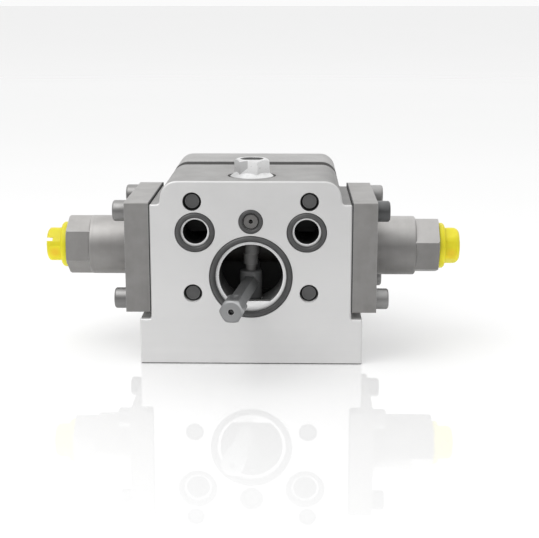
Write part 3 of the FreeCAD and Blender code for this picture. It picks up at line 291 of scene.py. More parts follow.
# %% Round coordinate group
round_tree, round_in, round_out = new_group("round coordinates", {"Vector": None}, {"Vector": "Vector"})
point = split(round_in["Vector"])
pair = {"X": point["X"], "Y": axis_distance(point["Y"], point["Z"])}
set_inputs(round_out, Vector=add_node(round_tree, "ShaderNodeCombineXYZ", pair).outputs[0])
print("made group", round_tree.name)

# %% [markdown]
# ## Starting a finish
# Every finish begins the same way: an empty material, one Principled shader and the object's own coordinates.
# Each piece sits at the origin, so a pattern stays fixed to the metal.

# %% Finish helper
def start_finish(name, **constants):
    """A new material, its shader and the piece's own coordinates. Constants go on the shader's inputs."""
    material = bpy.data.materials.new(name)
    material.use_nodes = True
    tree = material.node_tree
    tree.nodes.clear()
    shader = tree.nodes.new("ShaderNodeBsdfPrincipled")
    add_node(tree, "ShaderNodeOutputMaterial", {"Surface": shader.outputs[0]})
    set_inputs(shader, constants)
    return material, shader, tree.nodes.new("ShaderNodeTexCoord").outputs["Object"]


def grey(value, warmth=0.0):
    """A grey colour as a shader wants it, a little warmer or cooler."""
    return (value + warmth, value, value - warmth, 1.0)


def bump_from(height, distance, strength, **normal):
    """A Bump node, given back as its normal. The distance is what a height of 1 stands for, in metres."""
    inputs = {"Height": height, "Distance": distance, "Strength": strength, **normal}
    return add_node(height.id_data, "ShaderNodeBump", inputs).outputs["Normal"]


print("finish helpers ready")

# %% [markdown]
# ## Where the holes are
# The mounting face carries the lever bore, two ports, a drain and four screw holes. Inside them a painted shade
# stands for the dark, and their rims are painted bright, as painted light. The mesh alone doesn't tell a hole
# from a face, so this group measures how far a point lies from a hole's axis and how deep behind the face, and
# gives two masks: the inside, where shade is painted, and the rim.

# %% Hole masks
hole_tree, hole_in, hole_out = new_group(
    "hole in the face",
    {"Across": 0.0, "Up": 0.0, "Depth": 0.0, "Radius": 0.01, "Rim Radius": 0.0, "Dark From": 0.001,
     "Dark Fully": 0.002},
    {"Inside": "Float", "Rim": "Float"},
)
from_centre = axis_distance(hole_in["Across"], hole_in["Up"])
deep = ramp(hole_in["Depth"], hole_in["Dark From"], hole_in["Dark Fully"])
within = below(from_centre, hole_in["Radius"])
near = below(from_centre, hole_in["Rim Radius"])
set_inputs(hole_out, Inside=times(within, deep), Rim=times(near, minus(1.0, deep)))
print("made group", hole_tree.name)

# %% [markdown]
# ## Iron of the front block
# The front block is one casting with two skins. Its mounting face, pads and foot are milled, pale and satin.
# Its top between the shoulders is left as cast: darker, rough and slightly pitted. One material does both,
# and the place of a point decides, since the skins meet at the block's own edges.

# %% Front block iron
FACE_Y, SHOULDER_HEIGHT = -0.0335, 0.0773
GROOVE_MIDDLE, GROOVE_HALF_WIDTH = 0.02975, 0.0048
LEVEL_ENOUGH = 0.7


def groove_mask(where):
    """Where the groove runs between the two blocks, above the shoulders."""
    from_joint = math_node("ABSOLUTE", minus(where["Y"], GROOVE_MIDDLE))
    high = above(where["Z"], SHOULDER_HEIGHT - 0.004)
    return times(below(from_joint, GROOVE_HALF_WIDTH), high)


body_iron, shader, place = start_finish("front block iron")
where, facing = split(place), facing_beside(place)
above_shoulder = ramp(where["Z"], SHOULDER_HEIGHT - 0.0004, SHOULDER_HEIGHT + 0.0004)
off_the_face = ramp(where["Y"], FACE_Y + 0.0004, FACE_Y + 0.0009)
level = above(facing["Z"], LEVEL_ENOUGH)
on_ledge = times(level, above(where["Z"], SHOULDER_HEIGHT - 0.001))
cast = times(highest(above_shoulder, on_ledge), off_the_face)
print("the skins change at height", SHOULDER_HEIGHT, "and behind", FACE_Y)

# %% [markdown]
# The holes are found from a point's distance to each axis. The ports and the screw holes are mirror pairs, so
# the absolute value of X stands for both sides at once, and the same is done with the height of the screw
# pattern. The lever bore opens into a wider chamber behind its land. Where no rim radius is given, the rim
# isn't bright.

# %% Holes of the front block
BORE_HEIGHT, BORE_REACH = 0.0427, 0.0154
PORT_ACROSS, PORT_UP = 0.0263, 0.0641
SCREW_ACROSS, PATTERN_UP, SCREW_RISE = 0.0275, 0.0567, 0.022
DRAIN_UP = 0.0692

depth = minus(where["Y"], FACE_Y)
either_side = math_node("ABSOLUTE", where["X"])
bore_up = minus(where["Z"], BORE_HEIGHT)
pattern_up = math_node("ABSOLUTE", minus(where["Z"], PATTERN_UP))
holes = {
    "lever bore": dict(Across=where["X"], Up=bore_up, Radius=BORE_REACH, Rim_Radius=0.0166,
                       Dark_From=0.0024, Dark_Fully=0.0026),
    "lever chamber": dict(Across=where["X"], Up=bore_up, Radius=0.0260, Dark_From=0.0250,
                          Dark_Fully=0.0258),
    "ports": dict(Across=minus(either_side, PORT_ACROSS), Up=minus(where["Z"], PORT_UP),
                  Radius=0.0060, Rim_Radius=0.0066, Dark_From=0.0023, Dark_Fully=0.0025),
    "drain": dict(Across=where["X"], Up=minus(where["Z"], DRAIN_UP), Radius=0.0040, Dark_From=0.0012,
                  Dark_Fully=0.0016),
    "screw holes": dict(Across=minus(either_side, SCREW_ACROSS), Up=minus(pattern_up, SCREW_RISE),
                        Radius=0.0046, Dark_From=0.0003, Dark_Fully=0.0010),
}
masks = [use_group(hole_tree, Depth=depth, **sizes) for sizes in holes.values()]
inside = highest(*[mask["Inside"] for mask in masks])
rim = highest(*[mask["Rim"] for mask in masks])
print("masked", ", ".join(holes))

# %% [markdown]
# At the bottom of the lever bore a flat sill is milled through the land. It is painted bright as the rim is, as
# painted light, so it is taken out of the painted shade. Behind it the chamber's floor, where it faces up, is
# painted a little lighter as painted light, with specks of old oil.

# %% Sill and floor of the lever bore
SILL_HEIGHT, LAND_DEPTH, FLOOR_LIGHT_HEIGHT = 0.0305, 0.006, 0.038

above_sill = ramp(where["Z"], SILL_HEIGHT, SILL_HEIGHT + 0.0035)
not_on_sill = highest(above_sill, above(depth, LAND_DEPTH))
in_bore = below(axis_distance(where["X"], bore_up), BORE_REACH)
on_sill = times(in_bore, minus(1.0, not_on_sill))
inside = times(inside, not_on_sill)
# The sill is painted bright with the rims, as painted light.
rim = highest(rim, on_sill)
low_down = ramp(where["Z"], FLOOR_LIGHT_HEIGHT, FLOOR_LIGHT_HEIGHT - 0.003)
# Painted light: the chamber's floor, where it faces up and lies low, is painted lighter than the rest of the
# inside.
lit_floor = times(ramp(facing["Z"], 0.25, 0.45), low_down, inside)
print("the sill is at height", SILL_HEIGHT)

# %% [markdown]
# The colours are laid over one another like coats of paint: the two skins with their clouds and bands, the
# milled face painted paler towards its foot and the right ledge painted darker, as painted light and shade,
# then the groove's painted shade, the rubbed edges with their painted highlight, the rims painted bright as
# light, the painted shade in the holes with painted light on the chamber's floor, and a painted contact shadow
# where the foot stands.

# %% Colours of the front block
MILLED_FOOT_PAINTED_LIGHT, MILLED_TOP_PAINTED_SHADE = grey(0.79, 0.003), grey(0.61, 0.003)
MILLED_CLOUD, MILLED_BAND = grey(0.70, 0.002), grey(0.66, 0.002)
CAST_DARK, CAST_LIGHT, CAST_SPECK = grey(0.25, 0.004), grey(0.32, 0.004), grey(0.24, 0.004)
RIGHT_LEDGE_PAINTED_SHADE = grey(0.82)
# Painted shade: the groove between the blocks is painted dark, where light doesn't reach.
GROOVE_PAINTED_SHADE = grey(0.15, 0.002)
# Edge wear, partly a painted highlight, and the rims painted near white as painted light.
EDGE_WEAR_AND_HIGHLIGHT_GREY, RIM_PAINTED_LIGHT = grey(0.76), grey(0.97)
# Painted shade inside the holes.
BORE_PAINTED_SHADE, SMALL_HOLE_PAINTED_SHADE = grey(0.085, -0.0005), grey(0.018)
CHAMBER_FLOOR_PAINTED_LIGHT, CHAMBER_SPECK_PAINTED_LIGHT = grey(0.10), grey(0.22)
# A painted contact shadow along the foot.
FOOT_PAINTED_CONTACT_SHADOW = grey(0.10, 0.002)
SMALL_HOLES_BEYOND = 0.018

mottle = use_group(mottle_tree, Vector=place, Cloud_Scale=70.0, Speck_Scale=900.0)
marks = use_group(tool_tree, Vector=place, Squeeze=(0.05, 1.0, 1.0), Fineness=1500.0)
wear = use_group(wear_tree, Vector=place, Width=0.00035, Amount=0.65, Break_Up=0.6)
# Painted light and shade: the milled face is paler towards its foot and darker towards its top.
milled = layered(
    mix(ramp(where["Z"], 0.0, SHOULDER_HEIGHT), MILLED_FOOT_PAINTED_LIGHT, MILLED_TOP_PAINTED_SHADE),
    (times(mottle["Clouds"], 0.4), MILLED_CLOUD), (times(marks["Bands"], 0.20), MILLED_BAND),
)
rough = layered(CAST_DARK, (mottle["Clouds"], CAST_LIGHT), (times(mottle["Specks"], 0.4), CAST_SPECK))
# Painted shade: the ledge on the right darkens towards its outer edge.
shaded_right_ledge = times(on_ledge, ramp(where["X"], 0.030, 0.040))
rough = mix(shaded_right_ledge, rough, RIGHT_LEDGE_PAINTED_SHADE, "MULTIPLY")
hole_painted_shade = mix(above(either_side, SMALL_HOLES_BEYOND), BORE_PAINTED_SHADE, SMALL_HOLE_PAINTED_SHADE)
skin = layered(
    milled, (cast, rough), (groove_mask(where), GROOVE_PAINTED_SHADE), (wear["Edge"], EDGE_WEAR_AND_HIGHLIGHT_GREY),
    (rim, RIM_PAINTED_LIGHT), (inside, hole_painted_shade), (lit_floor, mix(mottle["Specks"], CHAMBER_FLOOR_PAINTED_LIGHT, CHAMBER_SPECK_PAINTED_LIGHT)),
    (ramp(where["Z"], 0.0006, 0.0002), FOOT_PAINTED_CONTACT_SHADOW),
)
print("laid the coats of the", body_iron.name)

# %% [markdown]
# Bare milled iron is partly metallic and satin, and the cast skin is duller. Inside the holes and on their
# rims, where shade and light are painted, the metal is turned off. Tool marks and pits are far too fine to
# model, so they go into a bump.

# %% Shine and relief of the front block
PIT_HEIGHT, RELIEF_DEPTH = 6.0, 0.000008

bare = math_node("SUBTRACT", minus(1.0, inside), rim, clamp=True)
metal_share = times(ramp(cast, 0.0, 1.0, to_low=0.30, to_high=0.12), bare)
satin = raised(marks["Lines"], base=0.42, spread=0.10)
pits = times(mottle["Specks"], cast, PIT_HEIGHT)
grooves = times(marks["Lines"], minus(1.0, cast))
relief = math_node("ADD", pits, grooves)
set_inputs(
    shader,
    Base_Color=skin,
    Metallic=highest(on_sill, metal_share),
    Roughness=highest(satin, times(cast, 0.62)),
    Normal=bump_from(relief, RELIEF_DEPTH, 0.5, Normal=wear["Normal"]),
)
print("made", body_iron.name)

# %% [markdown]
# ## Cast iron of the rear block
# The rear block is cast all over, with the sandy skin of a clean shell mould. It is a little lighter than the
# front block's top, because its skin is smoother.

# %% Rear block iron
REAR_DARK, REAR_LIGHT, REAR_SPECK = grey(0.30, 0.004), grey(0.37, 0.004), grey(0.34, 0.004)
# Edge wear on the rear block, partly a painted highlight.
REAR_EDGE_WEAR_AND_HIGHLIGHT = grey(0.62)
SAND_DEPTH = 0.00006

rear_iron, shader, place = start_finish("rear block iron", Metallic=0.15)
mottle = use_group(mottle_tree, Vector=place, Cloud_Scale=55.0, Speck_Scale=750.0)
wear = use_group(wear_tree, Vector=place, Width=0.0006, Amount=0.6, Break_Up=0.5)
# The groove's painted shade, as on the front block.
skin = layered(
    REAR_DARK, (mottle["Clouds"], REAR_LIGHT), (times(mottle["Specks"], 0.3), REAR_SPECK),
    (groove_mask(split(place)), GROOVE_PAINTED_SHADE), (wear["Edge"], REAR_EDGE_WEAR_AND_HIGHLIGHT),
)
set_inputs(
    shader,
    Base_Color=skin,
    Roughness=raised(mottle["Specks"], base=0.50, spread=0.12),
    Normal=bump_from(mottle["Specks"], SAND_DEPTH, 0.6, Normal=wear["Normal"]),
)
print("made", rear_iron.name)

# %% [markdown]
# ## Steel of the side plates, caps and screws
# The same recipe makes every bare steel: a mottled grey, tool marks across it, and bright worn edges. From
# piece to piece only the grey, the way of the marks and the shine change, so one function makes them all.

# %% Steel recipe
ALONG_Y, UPRIGHT, EVEN = (1.0, 0.05, 1.0), (1.0, 1.0, 0.05), (1.0, 1.0, 1.0)
STEEL_FINENESS = 1300.0
BAND_STRENGTH, BAND_GAIN = 0.35, 1.12
# Where the painted shade falls: an axis of the facing, where it starts and where it is full.
UNDERSIDE, LEFT_SIDE, TOPSIDE = ("Z", 0.75, 0.15), ("X", -0.2, -0.6), ("Z", 0.6, 0.9)


def steel(name, dark, light, roughness, metallic=0.85, squeeze=ALONG_Y, axis_shift=None,
          mark_depth=0.000003, edge_wear_and_highlight=0.5, warmth=0.004, wear_width=0.00035, underside_shade=0.7, left_side_shade=1.0,
          topside_shade=1.0, front_end_painted_light=None):
    """A bare steel between two greys. With a shift that brings its axis to X, its tool marks are rings.

    Faces turned down, to the left or up can take a painted shade, and faces towards the front their own grey,
    as painted light.
    """
    material, shader, place = start_finish(name, Metallic=metallic)
    path = place
    if axis_shift is not None:
        moved = add_node(place.id_data, "ShaderNodeMapping", {"Vector": place, "Location": axis_shift})
        path = use_group(round_tree, Vector=moved.outputs[0])["Vector"]
    mottle = use_group(mottle_tree, Vector=place, Cloud_Scale=110.0, Speck_Scale=1100.0)
    marks = use_group(tool_tree, Vector=path, Squeeze=squeeze, Fineness=STEEL_FINENESS)
    wear = use_group(wear_tree, Vector=place, Width=wear_width, Amount=1.0, Break_Up=0.3)
    facing = facing_beside(place)
    colour = layered(
        grey(dark, warmth), (mottle["Clouds"], grey(light, warmth)),
        (times(marks["Bands"], BAND_STRENGTH), grey(light * BAND_GAIN, warmth)),
    )
    # Painted shade: faces turned down, to the left or up are darkened, where less light falls on them.
    for (way, starts, full), shade in ((UNDERSIDE, underside_shade), (LEFT_SIDE, left_side_shade), (TOPSIDE, topside_shade)):
        if shade < 1.0:
            colour = mix(ramp(facing[way], starts, full), colour, grey(shade), "MULTIPLY")
    # Painted light: faces towards the front take their own grey.
    if front_end_painted_light is not None:
        colour = mix(ramp(facing["Y"], -0.80, -0.95), colour, grey(front_end_painted_light, warmth))
    # Worn edges take a brighter grey: partly wear, partly a painted highlight.
    set_inputs(
        shader,
        Base_Color=mix(wear["Edge"], colour, grey(edge_wear_and_highlight)),
        Roughness=raised(marks["Lines"], base=roughness, spread=0.10),
        Normal=bump_from(marks["Lines"], mark_depth, 0.7),
    )
    return material


print("one recipe for every steel")

# %% [markdown]
# The record gives every node the name of its finish, so the finishes are kept in a table under these names.
# The right side is painted a little darker below and brighter above than the left, as painted light and shade,
# so its plate, cap and screws have their own greys. One of its screws is black.

# %% Steels of the side plates, caps and their screws
SPOOL_HEIGHT = 0.0517
PLATE = dict(metallic=0.55, squeeze=UPRIGHT, warmth=0.007)
SPOOL_SHIFT = (0.0, 0.0, -SPOOL_HEIGHT)
CAP = dict(axis_shift=SPOOL_SHIFT, squeeze=EVEN, warmth=0.010)
finishes = {"machined_iron": body_iron, "cast_iron": rear_iron}


def add_finishes(recipe, table):
    """Makes a material for each row of a table and keeps it under its name."""
    for name, settings in table.items():
        finishes[name] = recipe(name, **settings)
    print("made", ", ".join(table))


add_finishes(steel, {
    "plate_steel": dict(dark=0.27, light=0.33, roughness=0.40, edge_wear_and_highlight=0.45, underside_shade=0.80, **PLATE),
    "right_plate_steel_painted_light": dict(dark=0.255, light=0.315, roughness=0.42, edge_wear_and_highlight=0.40, underside_shade=0.86,
                              **PLATE),
    "turned_steel": dict(dark=0.355, light=0.415, roughness=0.44, metallic=0.72, **CAP),
    "right_cap_steel_painted_light": dict(dark=0.41, light=0.48, roughness=0.42, metallic=0.75, underside_shade=0.52, **CAP),
    "screw_steel": dict(dark=0.25, light=0.31, roughness=0.36, edge_wear_and_highlight=0.40, underside_shade=0.72),
    "right_screw_steel_painted_light": dict(dark=0.32, light=0.38, roughness=0.36, edge_wear_and_highlight=0.45, underside_shade=0.72),
    "black_screw_steel": dict(dark=0.095, light=0.135, roughness=0.28, metallic=0.5, edge_wear_and_highlight=0.45,
                              warmth=-0.002, underside_shade=0.6),
})

# %% [markdown]
# The long screws are blackened, the nut is zinc plated and the lever is hardened dark. The hub and the
# adjusting screw stand in the bore, where old oil dulls them, and the sleeve behind them is painted near black,
# as painted shade deep in the bore. The drain's plug is dark too.

# %% Steels of the lever, the nut and the inner pieces
add_finishes(steel, {
    "dark_screw_steel": dict(dark=0.095, light=0.125, roughness=0.34, metallic=0.6, edge_wear_and_highlight=0.32,
                             warmth=0.0, underside_shade=0.9),
    "zinc_steel": dict(dark=0.84, light=0.92, roughness=0.26, metallic=0.45, edge_wear_and_highlight=0.92, warmth=0.0,
                       mark_depth=0.000001, wear_width=0.0002, underside_shade=1.0, left_side_shade=0.56, topside_shade=0.70),
    "dark_steel": dict(dark=0.185, light=0.240, roughness=0.36, metallic=0.30, edge_wear_and_highlight=0.45, warmth=-0.003,
                       wear_width=0.0006, underside_shade=1.0, topside_shade=0.40, front_end_painted_light=0.27),
    "hub_steel": dict(dark=0.155, light=0.195, roughness=0.45, metallic=0.15, edge_wear_and_highlight=0.45, warmth=-0.002,
                      underside_shade=1.0),
    "pin_steel": dict(dark=0.26, light=0.32, roughness=0.50, metallic=0.10, edge_wear_and_highlight=0.45, topside_shade=0.45),
    "sleeve_painted_shade_steel": dict(dark=0.020, light=0.030, roughness=0.55, metallic=0.1, edge_wear_and_highlight=0.04),
    "drain_steel": dict(dark=0.13, light=0.17, roughness=0.45, metallic=0.4, edge_wear_and_highlight=0.40, underside_shade=1.0),
    "ground_steel": dict(dark=0.36, light=0.44, roughness=0.24, axis_shift=SPOOL_SHIFT),
    "spring_steel": dict(dark=0.22, light=0.28, roughness=0.32),
})

# %% [markdown]
# The nut has two dark places, both painted: a painted shade in its hole, and a painted reflection with a
# slanting edge on its front flat. Both are found by where a point is and where it faces, and multiply the
# steel's own colour.

# %% Dark places of the nut
MM = 0.001
NUT_BOTTOM, NUT_TOP = 87.5, 96.5
PIVOT_Y, RECESS_RADIUS = -0.0139, 0.0059
REFLECTION_EDGE_HEIGHTS, REFLECTION_EDGE_X = (0.0893, 0.0928), (-0.0060, -0.0017)


def shade_where(name, make_mask, shade):
    """Multiplies a finish's colour by a shade, where a mask made from a point's place and facing holds."""
    nodes = finishes[name].node_tree.nodes
    shader = nodes["Principled BSDF"]
    place = nodes.new("ShaderNodeTexCoord").outputs["Object"]
    mask = make_mask(split(place), facing_beside(place))
    colour = shader.inputs["Base Color"].links[0].from_socket
    set_inputs(shader, Base_Color=mix(mask, colour, grey(shade), "MULTIPLY"))


def nut_hole_painted_shade(place, facing):
    """Inside the nut's threaded hole, below its top."""
    away = axis_distance(place["X"], minus(place["Y"], PIVOT_Y))
    return times(below(away, RECESS_RADIUS), below(place["Z"], (NUT_TOP - 0.05) * MM))


def painted_reflection_on_flat(place, facing):
    """The left part of the front flat. Its edge runs down to the left."""
    edge_x = ramp(place["Z"], *REFLECTION_EDGE_HEIGHTS, *REFLECTION_EDGE_X)
    left = ramp(minus(edge_x, place["X"]), -0.0001, 0.0002)
    front = ramp(facing["Y"], -0.80, -0.90)
    return times(left, front, ramp(place["Z"], 0.0888, 0.0892))


# Painted shade in the nut's hole.
shade_where("zinc_steel", nut_hole_painted_shade, 0.12)
# Painted reflection: the left part of the nut's front flat is darkened.
shade_where("zinc_steel", painted_reflection_on_flat, 0.62)
print("darkened two places of the nut")

# %% [markdown]
# The lever's tip has two painted highlights, on the upper part of its front rim and on its back rim. They are
# made in the same way, with a shade above 1.

# %% Bright rims of the lever's tip
TIP_RIM_Y, TIP_BACK_Y = -0.0690, -0.0600


def painted_highlight_on_rim(place, facing):
    """The upper part of the tip's rounded rim, between its end and its sides."""
    not_end = ramp(facing["Y"], -0.96, -0.88)
    not_side = ramp(facing["Y"], -0.25, -0.40)
    upper = ramp(raised(facing["X"], base=facing["Z"], spread=0.7), 0.25, 0.75)
    return times(not_end, not_side, upper, below(place["Y"], TIP_RIM_Y))


def painted_highlight_on_back_rim(place, facing):
    """The rounded rim at the back of the tip, where a highlight is painted."""
    return times(ramp(facing["Y"], 0.15, 0.35), below(place["Y"], TIP_BACK_Y))


# Painted highlights on the tip's rims.
shade_where("dark_steel", painted_highlight_on_rim, 2.0)
shade_where("dark_steel", painted_highlight_on_back_rim, 3.5)
print("brightened two rims of the lever's tip")

# %% [markdown]
# ## Rubber and gasket
# Seal rings are smooth black rubber with a thin film of oil: dark, but with a soft broad highlight. The
# flange gasket is a harder fibre sheet, matt and flecked.

# %% Rubber finishes
def rubber(name, dark, light, roughness, fleck_scale):
    """A dark matt material with faint clouds and a fine grain."""
    material, shader, place = start_finish(name)
    mottle = use_group(mottle_tree, Vector=place, Cloud_Scale=160.0, Speck_Scale=fleck_scale)
    set_inputs(
        shader,
        Base_Color=mix(mottle["Clouds"], grey(dark), grey(light)),
        Roughness=raised(mottle["Specks"], base=roughness, spread=0.15),
        Normal=bump_from(mottle["Specks"], 0.000008, 0.5),
    )
    return material


add_finishes(rubber, {
    "seal_rubber": dict(dark=0.050, light=0.075, roughness=0.30, fleck_scale=2200.0),
    "gasket": dict(dark=0.035, light=0.055, roughness=0.70, fleck_scale=3000.0),
})

# %% [markdown]
# ## Yellow plastic
# The shipping plugs are moulded polyethylene. Light sinks a little way into it, so its shadows turn warm
# instead of grey, and a little subsurface scattering does that. An orange glow is painted on the front of each
# hexagon, stronger on the left, as painted light. The faces turned down and the right plug are painted
# brighter, also as painted light.

# %% Yellow plastic
YELLOW_DARK, YELLOW_LIGHT = (0.63, 0.56, 0.005, 1.0), (0.69, 0.62, 0.008, 1.0)
YELLOW_PAINTED_LIGHT = (0.98, 0.88, 0.012, 1.0)
ORANGE_PAINTED_GLOW = (0.90, 0.52, 0.006, 1.0)
GLOW_ACROSS, GLOW_HEIGHT = 0.0975, 0.0490
GLOW_STARTS, GLOW_FULL = 0.0035, 0.0010
LEFT_TO_RIGHT = (-0.05, 0.05)

finishes["yellow_plastic"], shader, place = start_finish(
    "yellow_plastic", Subsurface_Weight=0.25, Subsurface_Scale=0.003, Subsurface_Radius=(1.0, 0.6, 0.05),
)
mottle = use_group(mottle_tree, Vector=place, Cloud_Scale=140.0, Speck_Scale=1600.0)
where, facing = split(place), facing_beside(place)
glow_away = axis_distance(
    minus(math_node("ABSOLUTE", where["X"]), GLOW_ACROSS), minus(where["Z"], GLOW_HEIGHT),
)
# Painted glow on the front of each hexagon.
painted_glow = times(
    ramp(glow_away, GLOW_STARTS, GLOW_FULL), ramp(facing["Y"], -0.4, -0.8),
    ramp(where["X"], *LEFT_TO_RIGHT, to_low=0.62, to_high=0.45),
)
# Painted light: faces turned down and the right plug are brightened.
colour = layered(
    YELLOW_DARK, (mottle["Clouds"], YELLOW_LIGHT),
    (times(ramp(facing["Z"], 0.1, -0.4), 0.8), YELLOW_PAINTED_LIGHT),
    (ramp(where["X"], *LEFT_TO_RIGHT, to_high=0.25), YELLOW_PAINTED_LIGHT), (painted_glow, ORANGE_PAINTED_GLOW),
)
set_inputs(
    shader,
    Base_Color=colour,
    Roughness=raised(mottle["Specks"], base=0.44, spread=0.10),
    Normal=bump_from(mottle["Specks"], 0.00001, 0.4),
)
print("finishes:", ", ".join(finishes))

# %% [markdown]
# ## Dressing the frame
# Each CAD piece keeps its mesh and takes a finish in its material slots: the one that the record names, or
# for a few nodes one of their own, because their neighbours of the same steel look different.

# %% Give every node its finish
OWN_FINISH = {
    "eccentric_screw": "pin_steel",
    "orifice_plug": "drain_steel",
    "lever_hub": "hub_steel",
    "feedback_sleeve": "sleeve_painted_shade_steel",
    "right_spring_cap": "right_cap_steel_painted_light",
    "right_flange_plate": "right_plate_steel_painted_light",
}
slot_of_node = {part["node"]: part["material_slot"] for part in frame["record"]["subparts"]}
for node_name, node_object in frame["nodes"].items():
    finish = finishes[OWN_FINISH.get(node_name, slot_of_node[node_name])]
    if not node_object.material_slots:
        node_object.data.materials.append(finish)
    for material_slot in node_object.material_slots:
        material_slot.material = finish
print("dressed", len(slot_of_node), "nodes")

# %% [markdown]
# ## Turning round pieces
# The plain round pieces of the frame have few faces, so the ones that show are modelled again. On a lathe a
# piece is its outline turned round an axis, and the same works here: a point is pushed out along the outline
# with extrude, and spin turns the line round the X axis. Lengths are in millimetres, as on a drawing.

# %% Turning helpers
def choose(*pieces):
    """Selects only these pieces, the first of them active, since an operator acts on what is selected."""
    bpy.ops.object.select_all(action="DESELECT")
    for piece in pieces:
        piece.select_set(True)
    bpy.context.view_layer.objects.active = pieces[0]


def turned(name, outline, steps=48):
    """Spins an outline of (along, from the axis) pairs in millimetres round the X axis."""
    bpy.ops.mesh.primitive_plane_add(size=MM, location=(0.0, 0.0, 0.0))
    piece = bpy.context.object
    piece.name = name
    bpy.ops.object.mode_set(mode="EDIT")
    bpy.ops.mesh.select_all(action="SELECT")
    bpy.ops.mesh.merge(type="CENTER")
    along, out = outline[0]
    bpy.ops.transform.translate(value=(along * MM, 0.0, out * MM))
    for next_along, next_out in outline[1:]:
        step = ((next_along - along) * MM, 0.0, (next_out - out) * MM)
        bpy.ops.mesh.extrude_vertices_move(TRANSFORM_OT_translate={"value": step})
        along, out = next_along, next_out
    bpy.ops.mesh.select_all(action="SELECT")
    bpy.ops.mesh.spin(steps=steps, angle=2.0 * math.pi, center=(0.0, 0.0, 0.0), axis=(1.0, 0.0, 0.0))
    bpy.ops.mesh.select_all(action="SELECT")
    bpy.ops.mesh.remove_doubles(threshold=0.001 * MM)
    bpy.ops.mesh.normals_make_consistent(inside=False)
    bpy.ops.object.mode_set(mode="OBJECT")
    return piece


def arc(along, out, radius, start, end, steps=6):
    """Points of an arc in an outline. Angles are in degrees from the axis direction towards the outside."""
    angles = [math.radians(start + (end - start) * step / steps) for step in range(steps + 1)]
    return [(along + radius * math.cos(a), out + radius * math.sin(a)) for a in angles]


def offset(base, *points):
    """Points of an outline that count along from a base."""
    return [(base + along, out) for along, out in points]


def thread(start, end, radius, pitch, depth):
    """Outline of a thread, drawn as rings with a flat crest, from start to end."""
    rings = int((end - start) / pitch)
    root = radius - depth
    points = []
    for ring in range(rings):
        points += offset(start + ring * pitch, (0.0, root), (0.4 * pitch, radius), (0.6 * pitch, radius))
    return points + [(start + rings * pitch, root)]


print("a turned piece has 48 sides unless it is told otherwise")

# %% [markdown]
# Hexagons, sockets and slots are milled into turned pieces. A boolean modifier does what the mill does: it
# cuts one mesh with another, or keeps what both share, which leaves the curved chamfer lines of a real
# hexagon.

# %% Milling helpers
def milled_with(piece, tool, operation):
    """Shapes a piece with a tool mesh, which is then thrown away."""
    modifier = piece.modifiers.new("mill", "BOOLEAN")
    modifier.operation = operation
    modifier.solver = "EXACT"
    modifier.object = tool
    choose(piece)
    bpy.ops.object.modifier_apply(modifier=modifier.name)
    bpy.data.objects.remove(tool)
    return piece


def hexagon_bar(across, start, end, edge=0.0):
    """Hexagon bar along X in millimetres, its edges broken by a small bevel."""
    bpy.ops.mesh.primitive_cylinder_add(
        vertices=6, radius=across / math.sqrt(3.0) * MM, depth=(end - start) * MM,
        location=((start + end) / 2.0 * MM, 0.0, 0.0), rotation=(0.0, math.pi / 2.0, 0.0),
    )
    bpy.ops.object.transform_apply()
    bar = bpy.context.object
    if edge:
        bpy.ops.object.mode_set(mode="EDIT")
        bpy.ops.mesh.select_all(action="SELECT")
        bpy.ops.mesh.bevel(offset=edge * MM, segments=3)
        bpy.ops.object.mode_set(mode="OBJECT")
    return bar


def set_in_place(piece, place, axis, turn=0.0):
    """Points a piece's X axis along an axis and moves it to its place in metres. Both go into its mesh."""
    piece.matrix_world = (
        Matrix.Translation(place) @ Vector(axis).to_track_quat("X", "Z").to_matrix().to_4x4()
        @ Matrix.Rotation(math.radians(turn), 4, "X")
    )
    choose(piece)
    bpy.ops.object.transform_apply()
    return piece


print("milling helpers ready")

# %% [markdown]
# What repeats is modelled once and copied. A finished piece stands for the node that it replaces, and rides
# on its body, so that it moves with it.

# %% Copies and finished pieces
SMOOTH_BELOW = math.radians(32.0)
CORNERS = ((-1, -1), (-1, 1), (1, -1), (1, 1))


def placed_copy(piece, place, axis, turn):
    """A copy with its own mesh, set in its place."""
    twin = piece.copy()
    twin.data = piece.data.copy()
    bpy.context.scene.collection.objects.link(twin)
    return set_in_place(twin, place, axis, turn)


def joined(pieces, name):
    """Joins pieces into one object."""
    choose(*pieces)
    bpy.ops.object.join()
    pieces[0].name = name
    return pieces[0]


def finish_piece(piece, slot_name, body, node):
    """Smooths a piece, gives it its finish, and lets it stand for its node."""
    choose(piece)
    bpy.ops.object.shade_smooth_by_angle(angle=SMOOTH_BELOW)
    if not piece.data.materials:
        piece.data.materials.append(finishes[slot_name])
    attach(piece, body)
    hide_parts(node)
    print(piece.name, "has", len(piece.data.polygons), "faces")


print("piece helpers ready")

# %% [markdown]
# ## Seal rings
# Each seal ring sits proud of its seat. A moulded ring keeps a thin flash line where the halves of its mould
# met, inside and outside. A torus primitive has no such line, so the round section with two small ridges is
# drawn and spun.

# %% Seal rings
SECTION_STEPS, FLASH_STEPS, FLASH_HEIGHT = 24, (6, 18), 0.04


def seal_ring(name, radius, section):
    """A ring with a round section and a fine flash line on its inside and its outside."""
    section_line = []
    for step in range(SECTION_STEPS + 1):
        angle = math.radians(360.0 / SECTION_STEPS * step)
        reach = section / 2.0 - (0.0 if step in FLASH_STEPS else FLASH_HEIGHT)
        section_line.append((reach * math.cos(angle), radius + reach * math.sin(angle)))
    return turned(name, section_line, steps=96)


